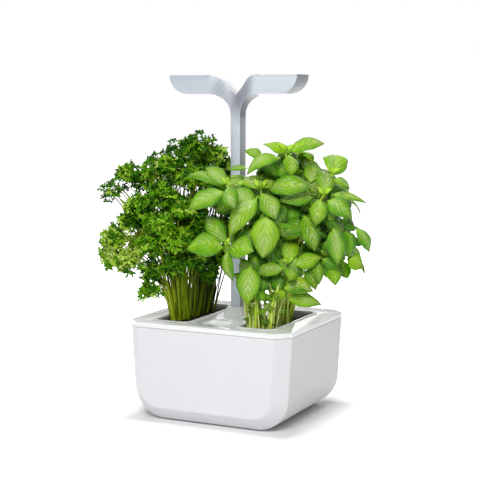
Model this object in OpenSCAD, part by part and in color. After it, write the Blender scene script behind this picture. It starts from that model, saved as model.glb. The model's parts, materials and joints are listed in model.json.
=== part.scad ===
// Countertop hydroponic garden: a white water tank with a lift-off deck, two long
// planting slots that each hold a cartridge with a living herb, and a lamp with two
// leaf-shaped heads on one mast that slides in the deck's socket.
// Millimetres, +Z up. The origin is on the worktop, under the middle of the tank.

/* [Tank casing] */
// Width of the casing at the deck
base_w = 200; // [190:1:215]
// Depth of the casing, front to back
base_d = 175; // [168:1:195]
// Height of the casing from its underside to the deck seam
case_h = 105.7; // [104:0.1:125]
// Radius of the two rounded lower edges
corner_r = 38; // [32:1:42]
// Width of the chamfer round the front and back faces
chamfer = 15; // [11:0.5:17]
// How far each side leans in between the seam and the floor
side_draft = 4; // [0:0.5:7]
// Wall of the casing
case_wall = 2.4; // [2:0.1:3]
// Air gap between the casing and the tank liner
tank_gap = 1.2; // [1:0.1:2]
// Wall of the tank liner
tank_wall = 1.6; // [1.2:0.1:2]
// How far the rubber feet stand below the casing
foot_h = 1.5; // [1:0.1:3]
// Radius of a rubber foot
foot_r = 7; // [5:0.5:9]

/* [Deck] */
// Height of the deck's rim above the seam
rim_h = 5.3; // [4.5:0.1:8]
// Thickness of the deck plate
deck_t = 2.4; // [2:0.1:3]
// How far the deck's skirt reaches down into the tank
skirt_h = 6; // [4:0.5:9]
// Thickness of the skirt
skirt_t = 1.6; // [1.2:0.1:2.4]
// Gap between the skirt and the tank liner
skirt_gap = 0.8; // [0.5:0.1:1.2]
// Depth of the filling dish below the deck
dish_depth = 3; // [2.5:0.1:4]
// Width of the filling dish
dish_w = 30; // [28:0.5:36]
// Length of the filling dish, front to back
dish_l = 26; // [25:0.5:30]
// Distance of the dish's middle from the deck's front edge
dish_in = 34.5; // [30:0.5:36]

/* [Planting slots] */
// Distance of each slot's middle from the deck's middle
slot_x = 52.5; // [50:0.5:56]
// Width of a slot
slot_w = 42; // [38:0.5:46]
// Length of a slot
slot_l = 124; // [110:1:130]
// Corner radius of a slot
slot_r = 8; // [6:0.5:12]
// Width of the raised lip round a slot
lip_w = 3.5; // [2.5:0.1:5]
// Height of the raised lip
lip_h = 0.8; // [0.5:0.1:1.5]
// Depth of the well that hangs below each slot
well_depth = 12.5; // [12:0.5:18]
// Depth of a cartridge, from the deck's top to its underside
tray_depth = 40; // [34:0.5:44]
// How far the soil lies below the deck's top
soil_drop = 9.5; // [8:0.1:11]

/* [Mast] */
// Width of the mast, side to side
mast_w = 11.8; // [10:0.1:14]
// Depth of the mast, front to back
mast_d = 14.9; // [13:0.1:17]
// Wall of the mast tube
mast_wall = 1.2; // [1:0.1:1.6]
// How far the mast reaches below the deck's top
mast_foot_drop = 62; // [50:1:66]
// Running clearance all round the mast
slide_gap = 0.25; // [0.15:0.05:0.4]
// Gap between the underside of the socket and the tank's floor
socket_gap = 5.8; // [3:0.1:8]
// Wall of the socket
socket_wall = 1.8; // [1.5:0.1:2.5]
// Height of the mast collar above the deck
collar_h = 11.6; // [10.5:0.1:16]

/* [Lamp] */
// Height of the lamp's underside above the deck
lamp_under = 255; // [252:1:320]
// Thickness of the two lamp leaves
leaf_t = 21.5; // [20:0.5:26]
// Depth of the lamp leaves, front to back
leaf_d = 33; // [32:0.5:40]
// Distance from the mast's middle to a leaf's tip
leaf_tip = 79.8; // [78:0.1:90]
// Thickness of the lids on top of the leaves
lid_t = 2.6; // [2:0.1:3.2]
// Wall of the lamp housing
lamp_wall = 1.8; // [1.5:0.1:2.4]
// Length of the light panel under each leaf
panel_l = 30; // [24:0.5:31]
// Width of the light panel
panel_w = 20; // [16:0.5:21]
// How far the light panel stands below the leaf
panel_drop = 1.8; // [1:0.1:2.4]
// Radius of the lamp's push button
button_r = 2.8; // [2.2:0.1:3]
// Travel of the push button
button_travel = 1; // [0.6:0.1:1.2]

/* [Herbs] */
// Scale of the two herbs
herb_scale = 1; // [0.7:0.05:1]

/* [Hidden] */
$fn = 48;
hull_fn = 40;             // facets round the parts that are blended with hull()
slice = 0.01;             // thickness of the plates that a hull joins
through = 1;              // how far a cut runs past the face it opens
left = -1;
right = 1;

// Levels, from the worktop up
seam_z = foot_h + case_h;
deck_z = seam_z + rim_h;
case_floor = foot_h + case_wall;
tank_under = case_floor + tank_gap;
tank_floor = tank_under + tank_wall;
leaf_top = lamp_under + leaf_t;          // above the deck

// Casing and deck outline
case_clear = 0.2;         // play between nested pieces of one body
tank_inset = case_wall + tank_gap;
water_inset = tank_inset + tank_wall;
skirt_inset = water_inset + skirt_gap;
rebate = 1.2;             // width of the step that carries the tank's flange
flange_t = 1.6;
foot_x = base_w / 2 - side_draft - corner_r - foot_r - 3;
foot_y = base_d / 2 - chamfer - foot_r - 4;
foot_sink = 1.2;
case_pad_r = 6;

// Deck furniture
slot_y = -5;
well_wall = 1.5;
ledge_w = 1.6;
ledge_t = 1.6;
dish_y = dish_in - base_d / 2;
flap_offset = 8.4;                       // from the dish's middle back to the flap's rear edge
hinge_offset = 10;                       // and to the hinge's axis
sight_offset = 8.5;                      // and forward to the sight hole
dish_r = 8;
dish_wall = 1.6;
dish_floor_t = 2;
dish_floor = -dish_depth;                // top of the dish's floor, from the deck
flap_w = 20;
flap_l = 12;
flap_t = 1.2;
flap_gap = 0.2;
flap_back = dish_y + flap_offset;
hinge_y = dish_y + hinge_offset;
hinge_z = dish_floor - 0.5;
hinge_r = 1.3;
hinge_half = 6;                          // half length of the flap's barrel
ear_l = 3;
ear_end = hinge_half + 0.4 + ear_l;      // outer end of the hinge's ears
grip_w = 8;                              // ridge to lift the flap by
grip_l = 1.2;
pin_r = 0.6;
pin_fit = 0.05;
fill_margin = 1;                         // ledge under the flap
sight_y = dish_y - sight_offset;
float_head_r = 2.45;
float_rod_r = 2;
float_fit = 0.1;
guide_bore_r = 2.6;
guide_wall = 1.6;
guide_neck = 4;
float_h = 14;
float_gap = 6.8;                         // between the float and the tank's floor
float_stop = 1;                          // left at each end of the float's travel
float_top = deck_z - tank_floor - float_gap - float_h;
float_travel = (float_top - guide_neck - dish_depth - 2 * float_stop) / 2;
guide_end = float_top - float_travel - float_stop;   // below the deck's top
float_size = [26, 16];
head_l = 2;

// Cartridge
tray_gap = 0.4;
tray_flange_t = 1.2;
tray_wall = 1;
tray_w = slot_w - 2 * (ledge_w + 0.5);
tray_l = slot_l - 2 * (ledge_w + 0.5);
tray_r = slot_r - ledge_w - 0.5;
ledge_z = -well_depth + ledge_t;
wick_w = 24;
wick_t = 2;
wick_gap = 7.8;                          // between the wick and the tank's floor
wick_end = deck_z - tank_floor - wick_gap;

// Mast, socket and collar
bore_w = mast_w + 2 * slide_gap;
bore_d = mast_d + 2 * slide_gap;
socket_floor = 2;
socket_depth = deck_z - tank_floor - socket_gap - socket_floor;
duct_w = 4;                              // cable duct behind the socket
duct_y = bore_d / 2 + socket_wall + duct_w / 2;
socket_back = duct_y + duct_w / 2 + socket_wall;
flange_x = 14;
flange_front = 14.5;
flange_back = 25.5;
socket_flange_t = 2.5;
collar_foot = [-13, -14, 25];            // half width, front and back at the deck
collar_top = [-9.75, -10.5, 21.5];       // the same at the top
collar_blend = 2;
inlet_w = 9;
inlet_h = 9;
inlet_z = inlet_h / 2 + 0.2;
inlet_front = bore_d / 2 + 2.2;
inlet_l = 10.5;
inlet_r = 2.9;
inlet_pin_r = 1;
inlet_bore = 9;
inlet_mouth_r = 4;
lead_r = 1.5;
lead_y = duct_y;
lead_low = socket_depth - 4;
coil_r = 4.4;
coil_wire = 1.9;
coil_top = mast_foot_drop + 2;
coil_low = lead_low - lead_r;
pad_w = 8;
pad_h = 20;
pad_z = -30;
pad_gap = 0.05;
screw_r = 1.1;
screw_head_r = 1.9;
screw_head_t = 1.3;
screw_bite = 4;
collar_screw_at = [[-10, -10.6], [10, -10.6], [-9, 20], [9, 20]];
plug_w = mast_w - 2 * mast_wall;
plug_d = mast_d - 2 * mast_wall;
cable_r = 1.8;
foot_plug_h = 8;
foot_lip = 2;
neck_h = 26.5;                           // from the housing's foot to the leaves' underside
head_low = lamp_under - neck_h;
coupler_l = [22, 17];                    // below and above the housing's foot
coupler_low = head_low - coupler_l[0];
coupler_high = head_low + coupler_l[1];
set_r = 1.25;
set_len = 3;
set_drop = 0.2;                          // how far a set screw lies below the surface
set_at = [12, 9];                        // below and above the housing's foot
set_low = head_low - set_at[0];
set_high = head_low + set_at[1];

// Lamp housing, seen from the front
fillet_r = 24.4;
fillet_x = mast_w / 2 + fillet_r;
fillet_z = lamp_under - fillet_r;
tip_r = leaf_t + 0.3;
tip_x = leaf_tip - tip_r;
tip_z = lamp_under + tip_r;
crown_r = 22.8;
crown_x = 31.1;
shoulder_drop = 7.7;
shoulder = [14, leaf_top - shoulder_drop];
notch_drop = 23.5;
notch_z = leaf_top - notch_drop;
flare_l = 22;                            // length over which an arm widens to a leaf
flare_steps = 12;
flare_full = leaf_d / 2 - mast_d / 2;
lid_x = crown_x + 0.5;                   // inner end of a lid
channel_h = 8;
channel_lap = 2;
panel_x = 43.5;
panel_flange = 1;
floor_z = lamp_under + 2;
cavity_in = 25;
cavity_low_top = leaf_top - 6.5;
cavity_w = leaf_d - 2 * lamp_wall;
lid_z = leaf_top - lid_t;
board_z = floor_z + 3;
board_t = 1.2;
board_l = 33;
board_w = 28.6;
boss_x = 13.5;
boss_y = 12.9;
boss_r = 1.6;
led_size = [2.8, 2.8, 0.8];
led_pitch = [7, 6];
sink_z = board_z + board_t;
sink_base = 1.5;
sink_h = 4;
sink_l = 33;
sink_w = 21;
fins = 6;
fin_t = 1.2;
pcb_z = sink_z + sink_h;
pcb_w = 22;
pcb_in = 15.5;                           // from the panel's middle to a board's inner edge
driver_l = 31;
transformer = [10, 12, 4];
transformer_x = 6;
capacitor_r = 3;
capacitor_h = 5;
capacitor_at = [-8, 4];
chip = [7, 7, 1];
chip_x = -8;
small_r = 0.8;
small_head_r = 1.4;
small_head_t = 0.8;
button_x = 64.3;
button_fit = 0.1;
button_boss_r = 4.5;
button_boss_z = lamp_under + 4.5;
button_low = lamp_under + 1.2;
button_flange_r = 3.4;
button_flange_t = 1;
switch_size = [6, 6];
plunger_r = 1.7;
plunger_h = 0.6;
switch_gap = 0.1;

// Herbs: each stem runs from the soil to a tuft or a leaf cluster
herb_y = slot_y;
stem_fn = 6;
tuft_fn = 10;
leaf_fn = 6;
soil_top = -soil_drop;
stem_foot_r = 1.8;
stem_tip_r = 1.1;
leaf_edge = 1.2;
leaf_root = 3;                           // where a leaf starts in its cluster
leaf_back = 1;                           // height of the midrib above the root
leaf_rim = 2.4;                          // height of the leaf's two sides
leaf_dip = 2;                            // how far the tip hangs down
bush_tilt = 42;                          // how far the outer clusters lean outwards
bush_reach = 85;

// Parsley tufts: middle of each tuft from its slot's middle and the deck's top, and its radius
parsley_tufts = [
    [11, -2, 200, 12], [8, -27, 194, 14], [15, 19, 186, 14], [-3, -41, 188, 14],
    [-12, -55, 176, 14], [-26, -52, 172, 10], [-44, -44, 158, 14], [-56, -59, 167, 12],
    [-64, -61, 155, 10], [-75, -67, 149, 11],
    [10, -39, 163, 17], [-11, -61, 147, 18], [-33, -69, 130, 18], [22, -19, 160, 15],
    [-52, -59, 111, 15], [-74, -61, 92, 14], [-77, -61, 72, 13], [-57, -65, 67, 13],
    [-10, -65, 112, 20], [4, -45, 128, 20], [-16, -71, 88, 18], [3, -53, 92, 19],
    [16, -29, 108, 17], [-22, -69, 58, 13], [-24, -67, 36, 11], [0, -55, 64, 17],
    [18, -27, 70, 15], [22, -11, 52, 12], [16, 39, 168, 17], [22, 7, 138, 16],
    [-10, 25, 178, 16], [-34, 5, 163, 18], [-24, 47, 158, 18], [2, 67, 148, 18],
    [-53, 17, 135, 18], [-34, 65, 124, 18], [6, 79, 118, 18], [28, 55, 136, 16],
    [-82, 35, 104, 16], [-18, 81, 94, 16], [-50, 67, 84, 16], [18, 73, 88, 17],
    [-66, -9, 82, 16], [-10, 71, 62, 15], [-40, 39, 62, 15], [24, 41, 98, 17],
    [24, 27, 66, 14], [-10, 5, 122, 24], [-10, 5, 88, 22], [-32, -25, 100, 20]];
parsley_bed = [13, 50];                  // half width and half length

// Basil clusters: middle of each cluster from its slot's middle and the deck's top, heading
// of its first leaf, and leaf length
basil_heads = [
    [13, -8, 192, -25, 40], [58, 13, 168, 20, 36], [-37, -53, 156, 200, 40],
    [-6, -33, 152, 240, 40], [56, -1, 145, 10, 42], [-38, -57, 90, 190, 42],
    [24, -29, 72, 0, 36], [72, -3, 112, 340, 42], [-6, -53, 128, 285, 44],
    [24, -45, 128, 340, 40], [-8, -53, 58, 250, 36], [40, -39, 46, 320, 36],
    [76, 15, 78, 0, 37], [-19, 49, 150, 60, 36], [23, 53, 168, 100, 38],
    [62, 47, 138, 45, 40], [10, 75, 118, 90, 38], [-20, 63, 92, 120, 34],
    [58, 59, 84, 60, 38], [6, 45, 184, 75, 36], [28, 67, 56, 100, 32],
    [-14, 19, 172, 150, 32], [28, 5, 120, 45, 42], [4, 15, 82, 0, 40],
    [-2, -15, 110, 90, 40]];
basil_bed = [12, 34];
hub_r = 3.6;                             // joins the four leaves of a cluster
leaf_share = [1, 0.78, 0.96, 0.72];      // length of the four leaves of a cluster
leaf_fall = [16, -6, 12, -10];           // how far each leaf dips, in degrees
leaf_shape = 0.6;                        // width of a leaf as a share of its length

// ---- shared shapes ----

// Rectangle with true round corners
module round_rect(w, l, r) {
    square([w - 2 * r, l], center = true);
    square([w, l - 2 * r], center = true);
    for (sx = [-1, 1], sy = [-1, 1])
        translate([sx * (w / 2 - r), sy * (l / 2 - r)]) circle(r);
}

// Outline of the deck, moved in by a distance all round
module deck_outline(inset) {
    hw = base_w / 2 - inset;
    hd = base_d / 2 - inset;
    c = chamfer - inset * (2 - sqrt(2));
    polygon([[hw - c, -hd], [hw, c - hd], [hw, hd - c], [hw - c, hd],
        [c - hw, hd], [-hw, hd - c], [-hw, c - hd], [c - hw, -hd]]);
}

// Solid of the casing, moved in by a distance all round, from a floor to a top level
module tub(inset, top) {
    c = chamfer - inset * (2 - sqrt(2));
    edge_x = base_w / 2 - side_draft - corner_r;
    edge_z = foot_h + corner_r;
    hull() {
        for (s = [-1, 1]) translate([s * edge_x, 0, edge_z]) rotate([90, 0, 0]) {
            cylinder(r = corner_r - inset, h = base_d - 2 * (inset + c),
                center = true, $fn = 2 * hull_fn);
            cylinder(r = corner_r - inset - c, h = base_d - 2 * inset,
                center = true, $fn = 2 * hull_fn);
        }
        translate([0, 0, top - slice]) linear_extrude(slice) deck_outline(inset);
    }
}

module bar(w, d, low, high) {
    translate([-w / 2, -d / 2, low]) cube([w, d, high - low]);
}

module above_deck() {
    translate([0, 0, deck_z]) children();
}

// Moves its children to the middle of one planting slot
module at_slot(side) {
    translate([side * slot_x, slot_y, deck_z]) children();
}

module screw(r, head_r, head_t, len) {
    cylinder(r = head_r, h = head_t);
    translate([0, 0, head_t]) cylinder(r = r, h = len);
}

// ---- tank ----

module outer_casing() {
    color("white") difference() {
        union() {
            difference() {
                tub(0, seam_z);
                tub(case_wall, seam_z + through);
            }
            for (sx = [-1, 1], sy = [-1, 1]) translate([sx * foot_x, sy * foot_y, case_floor])
                cylinder(r = case_pad_r, h = tank_gap);
        }
        translate([0, 0, seam_z - flange_t]) linear_extrude(flange_t + through)
            deck_outline(rebate);
        for (sx = [-1, 1], sy = [-1, 1]) translate([sx * foot_x, sy * foot_y, foot_h - through])
            cylinder(r = foot_r, h = foot_sink + through);
    }
}

module water_tank() {
    color("gainsboro") difference() {
        union() {
            tub(tank_inset, seam_z);
            translate([0, 0, seam_z - flange_t]) linear_extrude(flange_t)
                deck_outline(rebate + case_clear);
        }
        tub(water_inset, seam_z + through);
    }
}

module rubber_feet() {
    color("dimgray") for (sx = [-1, 1], sy = [-1, 1])
        translate([sx * foot_x, sy * foot_y, 0]) cylinder(r = foot_r, h = foot_h + foot_sink);
}

// ---- deck ----

module fill_opening() {
    translate([0, flap_back - flap_l / 2])
        square([flap_w - 2 * fill_margin, flap_l - 2 * fill_margin], center = true);
}

module top_cover() {
    color("white") difference() {
        union() {
            translate([0, 0, seam_z]) linear_extrude(rim_h) deck_outline(0);
            translate([0, 0, seam_z - skirt_h]) linear_extrude(skirt_h) deck_outline(skirt_inset);
            dish_block();
        }
        difference() {
            translate([0, 0, seam_z - skirt_h - through])
                linear_extrude(skirt_h + rim_h - deck_t + through)
                    deck_outline(skirt_inset + skirt_t);
            dish_block();
        }
        for (side = [left, right]) at_slot(side) translate([0, 0, -rim_h - through])
            linear_extrude(rim_h + 2 * through) round_rect(
                slot_w + 2 * (well_wall + case_clear), slot_l + 2 * (well_wall + case_clear),
                slot_r + well_wall + case_clear);
        above_deck() {
            difference() {
                translate([0, dish_y, dish_floor]) linear_extrude(dish_depth + through)
                    round_rect(dish_w, dish_l, dish_r);
                hinge_ears();
            }
            hinge_line(pin_r + case_clear / 10, ear_end);
            bar(bore_w, bore_d, -deck_t - through, through);
            translate([0, duct_y, -deck_t - through])
                cylinder(r = lead_r + case_clear, h = deck_t + 2 * through);
            for (p = collar_screw_at) translate([p[0], p[1], -deck_t - through])
                cylinder(r = screw_r + case_clear, h = deck_t + 2 * through);
            translate([0, 0, dish_floor - dish_floor_t - through]) {
                linear_extrude(dish_floor_t + 2 * through) fill_opening();
                translate([-hinge_half - 0.3, hinge_y - hinge_r - 0.6])
                    cube([2 * hinge_half + 0.6, 2 * hinge_r + 0.9, dish_floor_t + 2 * through]);
                translate([0, sight_y]) cylinder(r = guide_bore_r, h = dish_floor_t + 2 * through);
            }
            translate([0, flap_back - flap_l / 2, dish_floor - flap_t - 0.1])
                linear_extrude(flap_t + through)
                    square([flap_w + 2 * flap_gap, flap_l + 2 * flap_gap], center = true);
        }
    }
}

// The dish under the deck, before it is hollowed out
module dish_block() {
    above_deck() translate([0, dish_y, dish_floor - dish_floor_t])
        linear_extrude(dish_depth) round_rect(dish_w + 2 * dish_wall,
            dish_l + 2 * dish_wall, dish_r + dish_wall);
}

// A rod along the flap's axis, half as long as stated to each side
module hinge_line(r, half) {
    translate([0, hinge_y, hinge_z]) rotate([0, 90, 0])
        cylinder(r = r, h = 2 * half, center = true);
}

// Two round humps on the dish's floor, either side of the flap's barrel
module hinge_ears() {
    difference() {
        hinge_line(hinge_r, ear_end);
        hinge_line(2 * hinge_r, ear_end - ear_l);
    }
}

module well(side) {
    color("whitesmoke") at_slot(side) {
        difference() {
            union() {
                linear_extrude(lip_h)
                    round_rect(slot_w + 2 * lip_w, slot_l + 2 * lip_w, slot_r + lip_w);
                translate([0, 0, -well_depth]) linear_extrude(well_depth + lip_h / 2)
                    round_rect(slot_w + 2 * well_wall, slot_l + 2 * well_wall, slot_r + well_wall);
            }
            translate([0, 0, ledge_z]) linear_extrude(well_depth + lip_h + through)
                round_rect(slot_w, slot_l, slot_r);
            translate([0, 0, -well_depth - through]) linear_extrude(well_depth)
                round_rect(slot_w - 2 * ledge_w, slot_l - 2 * ledge_w, slot_r - ledge_w);
        }
    }
}

module left_well() well(left);
module right_well() well(right);

module flap_pin() {
    color("silver") above_deck() hinge_line(pin_r, ear_end - case_clear);
}

// Lies shut in the dish; swings up about the pin
module fill_flap() {
    color("white") above_deck() difference() {
        union() {
            translate([-flap_w / 2, flap_back - flap_l, dish_floor - flap_t])
                cube([flap_w, flap_l, flap_t - 0.1]);
            translate([-hinge_half, flap_back - 0.5, dish_floor - flap_t])
                cube([2 * hinge_half, hinge_y - flap_back + 0.5, flap_t - 0.1]);
            hinge_line(hinge_r, hinge_half);
            translate([-grip_w / 2, flap_back - flap_l, dish_floor - flap_gap])
                cube([grip_w, grip_l, grip_l]);
        }
        hinge_line(pin_r + pin_fit, hinge_half + through);
    }
}

module float_guide() {
    neck_z = -guide_end + guide_neck;
    color("white") above_deck() translate([0, sight_y, 0]) difference() {
        translate([0, 0, -guide_end])
            cylinder(r = guide_bore_r + guide_wall, h = guide_end + dish_floor - dish_floor_t);
        translate([0, 0, neck_z]) cylinder(r = guide_bore_r, h = guide_end);
        translate([0, 0, -guide_end - through]) cylinder(r = float_rod_r + float_fit, h = guide_end);
    }
}

module level_float() {
    neck_z = -guide_end + guide_neck;
    color("tomato") above_deck() translate([0, sight_y, 0]) {
        translate([0, 0, neck_z]) cylinder(r = float_head_r, h = head_l);
        translate([0, 0, -float_top]) cylinder(r = float_rod_r, h = float_top + neck_z);
        translate([0, 0, -float_top - float_h]) linear_extrude(float_h)
            round_rect(float_size[0], float_size[1], 4);
    }
}

// ---- collar, socket and power inlet ----

module collar_plate(at, z) {
    translate([0, (at[1] + at[2]) / 2, z]) linear_extrude(slice)
        round_rect(-2 * at[0], at[2] - at[1], collar_blend, $fn = hull_fn);
}

module mast_collar() {
    color("white") above_deck() difference() {
        hull() {
            collar_plate(collar_foot, 0);
            collar_plate(collar_top, collar_h - slice);
        }
        bar(bore_w, bore_d, -through, collar_h + through);
        translate([-inlet_w / 2 - case_clear, inlet_front - case_clear, -through])
            cube([inlet_w + 2 * case_clear, inlet_l + 2 * case_clear,
                inlet_h + case_clear + through]);
        translate([0, inlet_front, inlet_z]) rotate([-90, 0, 0])
            cylinder(r = inlet_mouth_r, h = inlet_l * 2);
        for (p = collar_screw_at) translate([p[0], p[1], -through])
            cylinder(r = screw_r, h = screw_bite + through);
    }
}

module mast_socket() {
    color("white") above_deck() difference() {
        union() {
            translate([-flange_x, -flange_front, -deck_t - socket_flange_t])
                cube([2 * flange_x, flange_front + flange_back, socket_flange_t]);
            bar(bore_w + 2 * socket_wall, bore_d + 2 * socket_wall,
                -socket_depth - socket_floor, -deck_t);
            translate([-duct_w / 2 - socket_wall, 0, -socket_depth - socket_floor])
                cube([duct_w + 2 * socket_wall, socket_back,
                    socket_depth + socket_floor - deck_t]);
        }
        bar(bore_w, bore_d, -socket_depth, through);
        translate([-duct_w / 2, duct_y - duct_w / 2, -socket_depth])
            cube([duct_w, duct_w, socket_depth]);
        translate([-duct_w / 2, 0, -socket_depth]) cube([duct_w, duct_y, 2 * duct_w]);
        translate([-pad_w / 2, bore_d / 2 - through, pad_z - pad_h / 2])
            cube([pad_w, socket_wall - 0.6 + through, pad_h]);
        for (p = collar_screw_at) translate([p[0], p[1], -deck_t - socket_flange_t - through])
            cylinder(r = screw_r + case_clear, h = socket_flange_t + 2 * through);
    }
}

module collar_screws() {
    color("silver") above_deck() for (p = collar_screw_at)
        translate([p[0], p[1], -deck_t - socket_flange_t - screw_head_t])
            screw(screw_r, screw_head_r, screw_head_t, socket_flange_t + deck_t + screw_bite - 0.3);
}

module friction_pad() {
    back = bore_d / 2 + socket_wall - 0.6;
    front = mast_d / 2 + pad_gap;
    color("dimgray") above_deck() translate([-pad_w / 2, front, pad_z - pad_h / 2])
        cube([pad_w, back - front, pad_h]);
}

module dc_inlet() {
    color("black") above_deck() difference() {
        translate([-inlet_w / 2, inlet_front, 0]) cube([inlet_w, inlet_l, inlet_h]);
        translate([0, inlet_front + inlet_l - inlet_bore, inlet_z]) rotate([-90, 0, 0])
            cylinder(r = inlet_r, h = inlet_bore + through);
    }
}

module inlet_pin() {
    color("gold") above_deck() translate([0, inlet_front + inlet_l - inlet_bore, inlet_z])
        rotate([-90, 0, 0]) cylinder(r = inlet_pin_r, h = inlet_bore - 1);
}

// Runs down the duct from the inlet and turns in under the mast
module inlet_lead() {
    color("black") above_deck() {
        translate([0, lead_y, -lead_low]) cylinder(r = lead_r, h = lead_low);
        translate([0, lead_y, -lead_low]) sphere(lead_r);
        translate([0, 0, -lead_low]) rotate([-90, 0, 0]) cylinder(r = lead_r, h = lead_y);
    }
}

module coiled_lead() {
    color("black") above_deck() translate([0, 0, -coil_low]) difference() {
        cylinder(r = coil_r, h = coil_low - coil_top);
        translate([0, 0, -through]) cylinder(r = coil_r - coil_wire, h = coil_low);
    }
}

// ---- cartridges ----

module tray(side) {
    color("gray") at_slot(side) difference() {
        union() {
            translate([0, 0, ledge_z]) linear_extrude(tray_flange_t)
                round_rect(slot_w - 2 * tray_gap, slot_l - 2 * tray_gap, slot_r - tray_gap);
            translate([0, 0, -tray_depth]) linear_extrude(tray_depth + ledge_z)
                round_rect(tray_w, tray_l, tray_r);
        }
        translate([0, 0, -tray_depth + tray_wall]) linear_extrude(tray_depth)
            round_rect(tray_w - 2 * tray_wall, tray_l - 2 * tray_wall, tray_r - tray_wall);
        translate([0, 0, -tray_depth]) cube([wick_t + 2 * case_clear, wick_w + 2 * case_clear,
            4 * tray_wall], center = true);
    }
}

module soil(side) {
    color("saddlebrown") at_slot(side) translate([0, 0, -tray_depth + tray_wall])
        linear_extrude(tray_depth - tray_wall - soil_drop)
            round_rect(tray_w - 2 * tray_wall, tray_l - 2 * tray_wall, tray_r - tray_wall);
}

module wick(side) {
    color("linen") at_slot(side) translate([-wick_t / 2, -wick_w / 2, -wick_end])
        cube([wick_t, wick_w, wick_end - tray_depth + tray_wall]);
}

module left_tray() tray(left);
module right_tray() tray(right);
module left_soil() soil(left);
module right_soil() soil(right);
module left_wick() wick(left);
module right_wick() wick(right);

// ---- herbs ----

// Place of a point of a herb, which grows from its slot's middle at the soil's top
function herb_at(p, side) = [
    side * slot_x + p[0] * herb_scale,
    herb_y + p[1] * herb_scale,
    soil_top + (p[2] - soil_top) * herb_scale];

// Foot of a stem: the bed is a narrow copy of the bush above it
function stem_foot(p, side, bed) = [
    side * slot_x + max(-1, min(1, p[0] / bush_reach)) * bed[0],
    herb_y + max(-1, min(1, p[1] / bush_reach)) * bed[1],
    soil_top];

// A stem leaves the soil steeply and leans over further up
module stem(foot, tip) {
    knee = [foot[0] + (tip[0] - foot[0]) * 0.3, foot[1] + (tip[1] - foot[1]) * 0.3,
        foot[2] + (tip[2] - foot[2]) * 0.55];
    hull() {
        translate(foot) cylinder(r = stem_foot_r, h = slice, $fn = stem_fn);
        translate(knee) sphere(stem_foot_r * 0.8, $fn = stem_fn);
    }
    hull() {
        translate(knee) sphere(stem_foot_r * 0.8, $fn = stem_fn);
        translate(tip) sphere(stem_tip_r, $fn = stem_fn);
    }
}

module parsley_stems() {
    color("yellowgreen") above_deck() for (t = parsley_tufts)
        stem(stem_foot(t, left, parsley_bed), herb_at(t, left));
}

module parsley_leaves() {
    color("forestgreen") above_deck() for (t = parsley_tufts)
        translate(herb_at(t, left)) hull()
            scale([1, 1, 0.8] * herb_scale) sphere(t[3], $fn = tuft_fn);
}

module leaf(len, fall) {
    half = len * leaf_shape / 2;
    rotate([0, fall, 0]) hull() {
        translate([leaf_root, 0, 0]) sphere(leaf_edge, $fn = leaf_fn);
        translate([len * 0.3, 0, leaf_back]) sphere(leaf_edge, $fn = leaf_fn);
        for (s = [-1, 1]) translate([len * 0.42, s * half, leaf_rim])
            sphere(leaf_edge, $fn = leaf_fn);
        translate([len - leaf_edge, 0, -leaf_dip]) sphere(leaf_edge, $fn = leaf_fn);
    }
}

// Four leaves in two crossed pairs; an outer cluster leans away from the bush's middle
module basil_cluster(h) {
    out = [h[0], h[1]];
    lean = bush_tilt * min(1, norm(out) / bush_reach);
    translate(herb_at(h, right)) scale(herb_scale)
        rotate([0, lean, atan2(out[1], out[0])])
            rotate([0, 0, h[3] - atan2(out[1], out[0])]) {
                sphere(hub_r, $fn = leaf_fn);
                for (i = [0:3]) rotate([0, 0, 90 * i]) leaf(h[4] * leaf_share[i], leaf_fall[i]);
            }
}

module basil_stems() {
    color("yellowgreen") above_deck() for (h = basil_heads)
        stem(stem_foot(h, right, basil_bed), herb_at(h, right));
}

module basil_leaves() {
    color("limegreen") above_deck() for (h = basil_heads) basil_cluster(h);
}

// ---- mast ----

module mast_tube() {
    color("silver") above_deck() difference() {
        bar(mast_w, mast_d, -mast_foot_drop, head_low);
        bar(plug_w, plug_d, -mast_foot_drop - through, head_low + through);
        translate([0, mast_d / 2 - mast_wall - through, set_low]) rotate([-90, 0, 0])
            cylinder(r = set_r, h = mast_wall + 2 * through);
    }
}

module mast_foot() {
    color("dimgray") above_deck() difference() {
        union() {
            bar(mast_w, mast_d, -mast_foot_drop - foot_lip, -mast_foot_drop);
            bar(plug_w - 0.1, plug_d - 0.1, -mast_foot_drop, -mast_foot_drop + foot_plug_h);
        }
        translate([0, 0, -mast_foot_drop - foot_lip - through])
            cylinder(r = cable_r + case_clear, h = foot_plug_h + foot_lip + 2 * through);
    }
}

module mast_coupler() {
    color("gray") above_deck() difference() {
        bar(plug_w - 0.1, plug_d - 0.1, coupler_low, coupler_high);
        translate([0, 0, coupler_low - through])
            cylinder(r = cable_r + case_clear, h = coupler_high - coupler_low + 2 * through);
        for (z = [set_low, set_high]) translate([0, mast_d / 2 - set_len - set_drop, z])
            rotate([-90, 0, 0]) cylinder(r = set_r, h = mast_d);
    }
}

module set_screws() {
    color("dimgray") above_deck() for (z = [set_low, set_high])
        translate([0, mast_d / 2 - set_len - set_drop, z]) rotate([-90, 0, 0])
            cylinder(r = set_r, h = set_len);
}

module mast_cable() {
    low = -mast_foot_drop - foot_lip;
    color("black") above_deck() translate([0, 0, low])
        cylinder(r = cable_r, h = coupler_high + 1.4 - low);
}

// ---- lamp ----

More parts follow.
